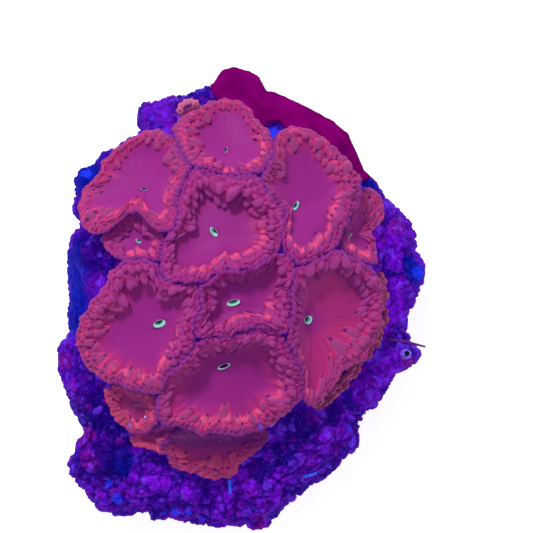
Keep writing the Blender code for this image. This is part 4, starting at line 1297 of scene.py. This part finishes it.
def on_rock(tree, x, y):
    """The rock's skin under a place of the drawing."""
    x, y = np.array((x, y)) + SHIFT
    return np.array(tree.ray_cast(Vector((x * MM, y * MM, 0.2)), Vector((0, 0, -1)))[0]) / MM


def add_cone(name, sides, radii, depth, **place):
    bpy.ops.mesh.primitive_cone_add(
        vertices=sides, radius1=radii[0] * MM, radius2=radii[1] * MM, depth=depth * MM, **place)
    piece = bpy.context.object
    piece.name = piece.data.name = name
    return piece


def round_edges(piece, width, segments):
    bevel = piece.modifiers.new("edges", "BEVEL")
    bevel.width, bevel.segments, bevel.limit_method = width * MM, segments, "ANGLE"
    apply_all(piece)


def finish_trim(piece, hollow, paint):
    set_marks(piece.data, hollow=hollow)
    dress(piece, paint)
    bpy.ops.object.shade_smooth_by_angle(angle=math.radians(40))
    finish_piece(piece, "reef_rock")


def build_tube(tree):
    """An empty tube on the right-hand spur: a short stem with a raised, hollow mouth."""
    foot = on_rock(tree, *TUBE_FOOT)
    tube = add_cone("worm_tube", 36, (2.3, 1.45), 4, location=Vector((foot[0], foot[1], foot[2] - 0.5)) * MM,
                    rotation=(-0.18, 0.22, 0))
    bpy.ops.object.transform_apply(location=True, rotation=True, scale=True)
    bpy.ops.object.mode_set(mode="EDIT")
    bpy.ops.mesh.select_all(action="DESELECT")
    work = bmesh.from_edit_mesh(tube.data)
    max(work.faces, key=lambda face: face.calc_center_median().z).select_set(True)
    bmesh.update_edit_mesh(tube.data)
    bpy.ops.mesh.inset(thickness=0.62 * MM)
    bpy.ops.mesh.extrude_region_move(TRANSFORM_OT_translate={"value": (0, 0, -1.0 * MM)})
    bpy.ops.object.mode_set(mode="OBJECT")
    round_edges(tube, 0.24, 3)
    points = mesh_points(tube.data)
    middle = points[points[:, 2] > points[:, 2].max() - 0.9][:, :2].mean(axis=0)
    # The middle of the tube's mouth is painted dark as shade.
    finish_trim(tube, smooth(1.0, 0.75, span(points[:, :2] - middle)),
                trim_paint("worm_tube", (132, 104, 232), (52, 14, 140)))


def build_rod(tree, name, ends, radii, bow, paint):
    """A thin rod that lies on the rock between two places."""
    ends = np.array(ends)
    steps = np.linspace(0, 0.7, 8)
    rise = [on_rock(tree, *(ends[0] * (1 - k) + ends[1] * k))[2] for k in steps]
    rod = add_cone(name, 14, radii, 2)
    bpy.ops.object.mode_set(mode="EDIT")
    bpy.ops.mesh.select_all(action="SELECT")
    bpy.ops.mesh.bisect(plane_co=(0, 0, 0), plane_no=(0, 0, 1))
    bpy.ops.object.mode_set(mode="OBJECT")
    points = mesh_points(rod.data)
    share = (points[:, 2] + 1) / 2
    line = ends[0] * (1 - share)[:, None] + ends[1] * share[:, None] + SHIFT
    along = (ends[1] - ends[0]) / span(ends[1] - ends[0])
    aside = np.array((-along[1], along[0]))
    line = line + aside * (points[:, 0] + bow * np.sin(math.pi * share))[:, None]
    height = 0.3 + 0.5 * np.interp(share, steps, rise) + 0.5 * max(rise)
    line[:, 0] = np.minimum(line[:, 0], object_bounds()[1][0] / MM - 0.1)
    set_points(rod.data, np.column_stack((line, height + points[:, 1])))
    round_edges(rod, 0.18, 2)
    bpy.ops.object.mode_set(mode="EDIT")
    bpy.ops.mesh.select_all(action="SELECT")
    bpy.ops.mesh.normals_make_consistent(inside=False)
    bpy.ops.object.mode_set(mode="OBJECT")
    finish_trim(rod, np.zeros(len(rod.data.vertices)), paint)


def look_down():
    """The camera over the dome."""
    data = bpy.data.cameras.new("camera")
    data.sensor_width = SENSOR
    data.lens = SENSOR * VIEW_RISE / VIEW_WIDTH
    data.clip_end = 10
    camera = bpy.data.objects.new("camera", data)
    bpy.context.scene.collection.objects.link(camera)
    camera.location = Vector((*(VIEW_MIDDLE + SHIFT), VIEW_LEVEL + VIEW_RISE)) * MM
    bpy.context.scene.camera = camera


def lights():
    """A soft key from the far left, and an even pale surround."""
    data = bpy.data.lights.new("key", "SUN")
    data.energy = KEY_POWER
    data.angle = math.radians(10)
    key = bpy.data.objects.new("key", data)
    bpy.context.scene.collection.objects.link(key)
    key.rotation_euler = Vector((-0.36, 0.85, 0.95)).to_track_quat("Z", "Y").to_euler()
    world = bpy.data.worlds.new("surround")
    world.use_nodes = True
    background = world.node_tree.nodes["Background"]
    background.inputs["Color"].default_value = (1, 1, 1, 1)
    background.inputs["Strength"].default_value = SURROUND_POWER
    bpy.context.scene.world = world
    bpy.context.scene.view_settings.view_transform = "Standard"


def lay_floor():
    """A plain pale floor under the rock."""
    bpy.ops.mesh.primitive_plane_add(size=3, location=(0, 0, -0.0002))
    floor = bpy.context.object
    floor.name = floor.data.name = "floor"
    p = Paint("pale_floor")
    p.set(Base_Color=(236, 236, 240), Roughness=0.9, Emission_Color=(255, 255, 255),
          Emission_Strength=FLOOR_GLOW)
    dress(floor, p.material)
    floor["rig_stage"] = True


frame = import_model()
bpy.ops.object.select_all(action="DESELECT")
look_down()
lights()
lay_floor()

flesh = flesh_paint("flesh", **FLESH)
saucers = [Saucer(name) for name in POLYPS]
for saucer in saucers:
    saucer.meet(saucers)
for saucer in saucers:
    finish_piece(build_polyp(saucer, flesh), "flesh", saucer.name)

rock = copy_solid("rock", "reef_rock")
remesh(rock, ROCK_VOXEL, 6)
skin = mesh_points(rock.data)
set_points(rock.data, Silhouette(skin).fit(skin))
crust = build_crust(rock)
finish_piece(crust, "crimson_crust", "crimson_crust")
shape_rock(rock, crust, saucers)
dress(rock, rock_paint())
finish_piece(rock, "reef_rock", "rock")
finish_piece(build_fold(flesh_paint("dusky_flesh", **DUSKY_FLESH)), "dusky_flesh", "polyp_right_fold")
finish_piece(build_bud(flesh_paint("bud_flesh", **BUD_FLESH)), "flesh", "polyp_bud")
bpy.context.view_layer.update()
tree = BVHTree.FromObject(rock, bpy.context.evaluated_depsgraph_get())
build_tube(tree)
build_rod(tree, "dark_spine", ((48.9, -12.8), (62.4, -15.4)), (0.62, 0.34), 0.5,
          trim_paint("dark_spine", (96, 24, 120), (48, 4, 84)))
blue_rod = trim_paint("blue_rod", (70, 110, 255), (34, 50, 230))
build_rod(tree, "blue_rod_middle", ((-4.8, -60.5), (-4.5, -65.2)), (0.5, 0.5), 0, blue_rod)
build_rod(tree, "blue_rod_right", ((20.2, -59.5), (25, -58.3)), (0.5, 0.5), 0, blue_rod)
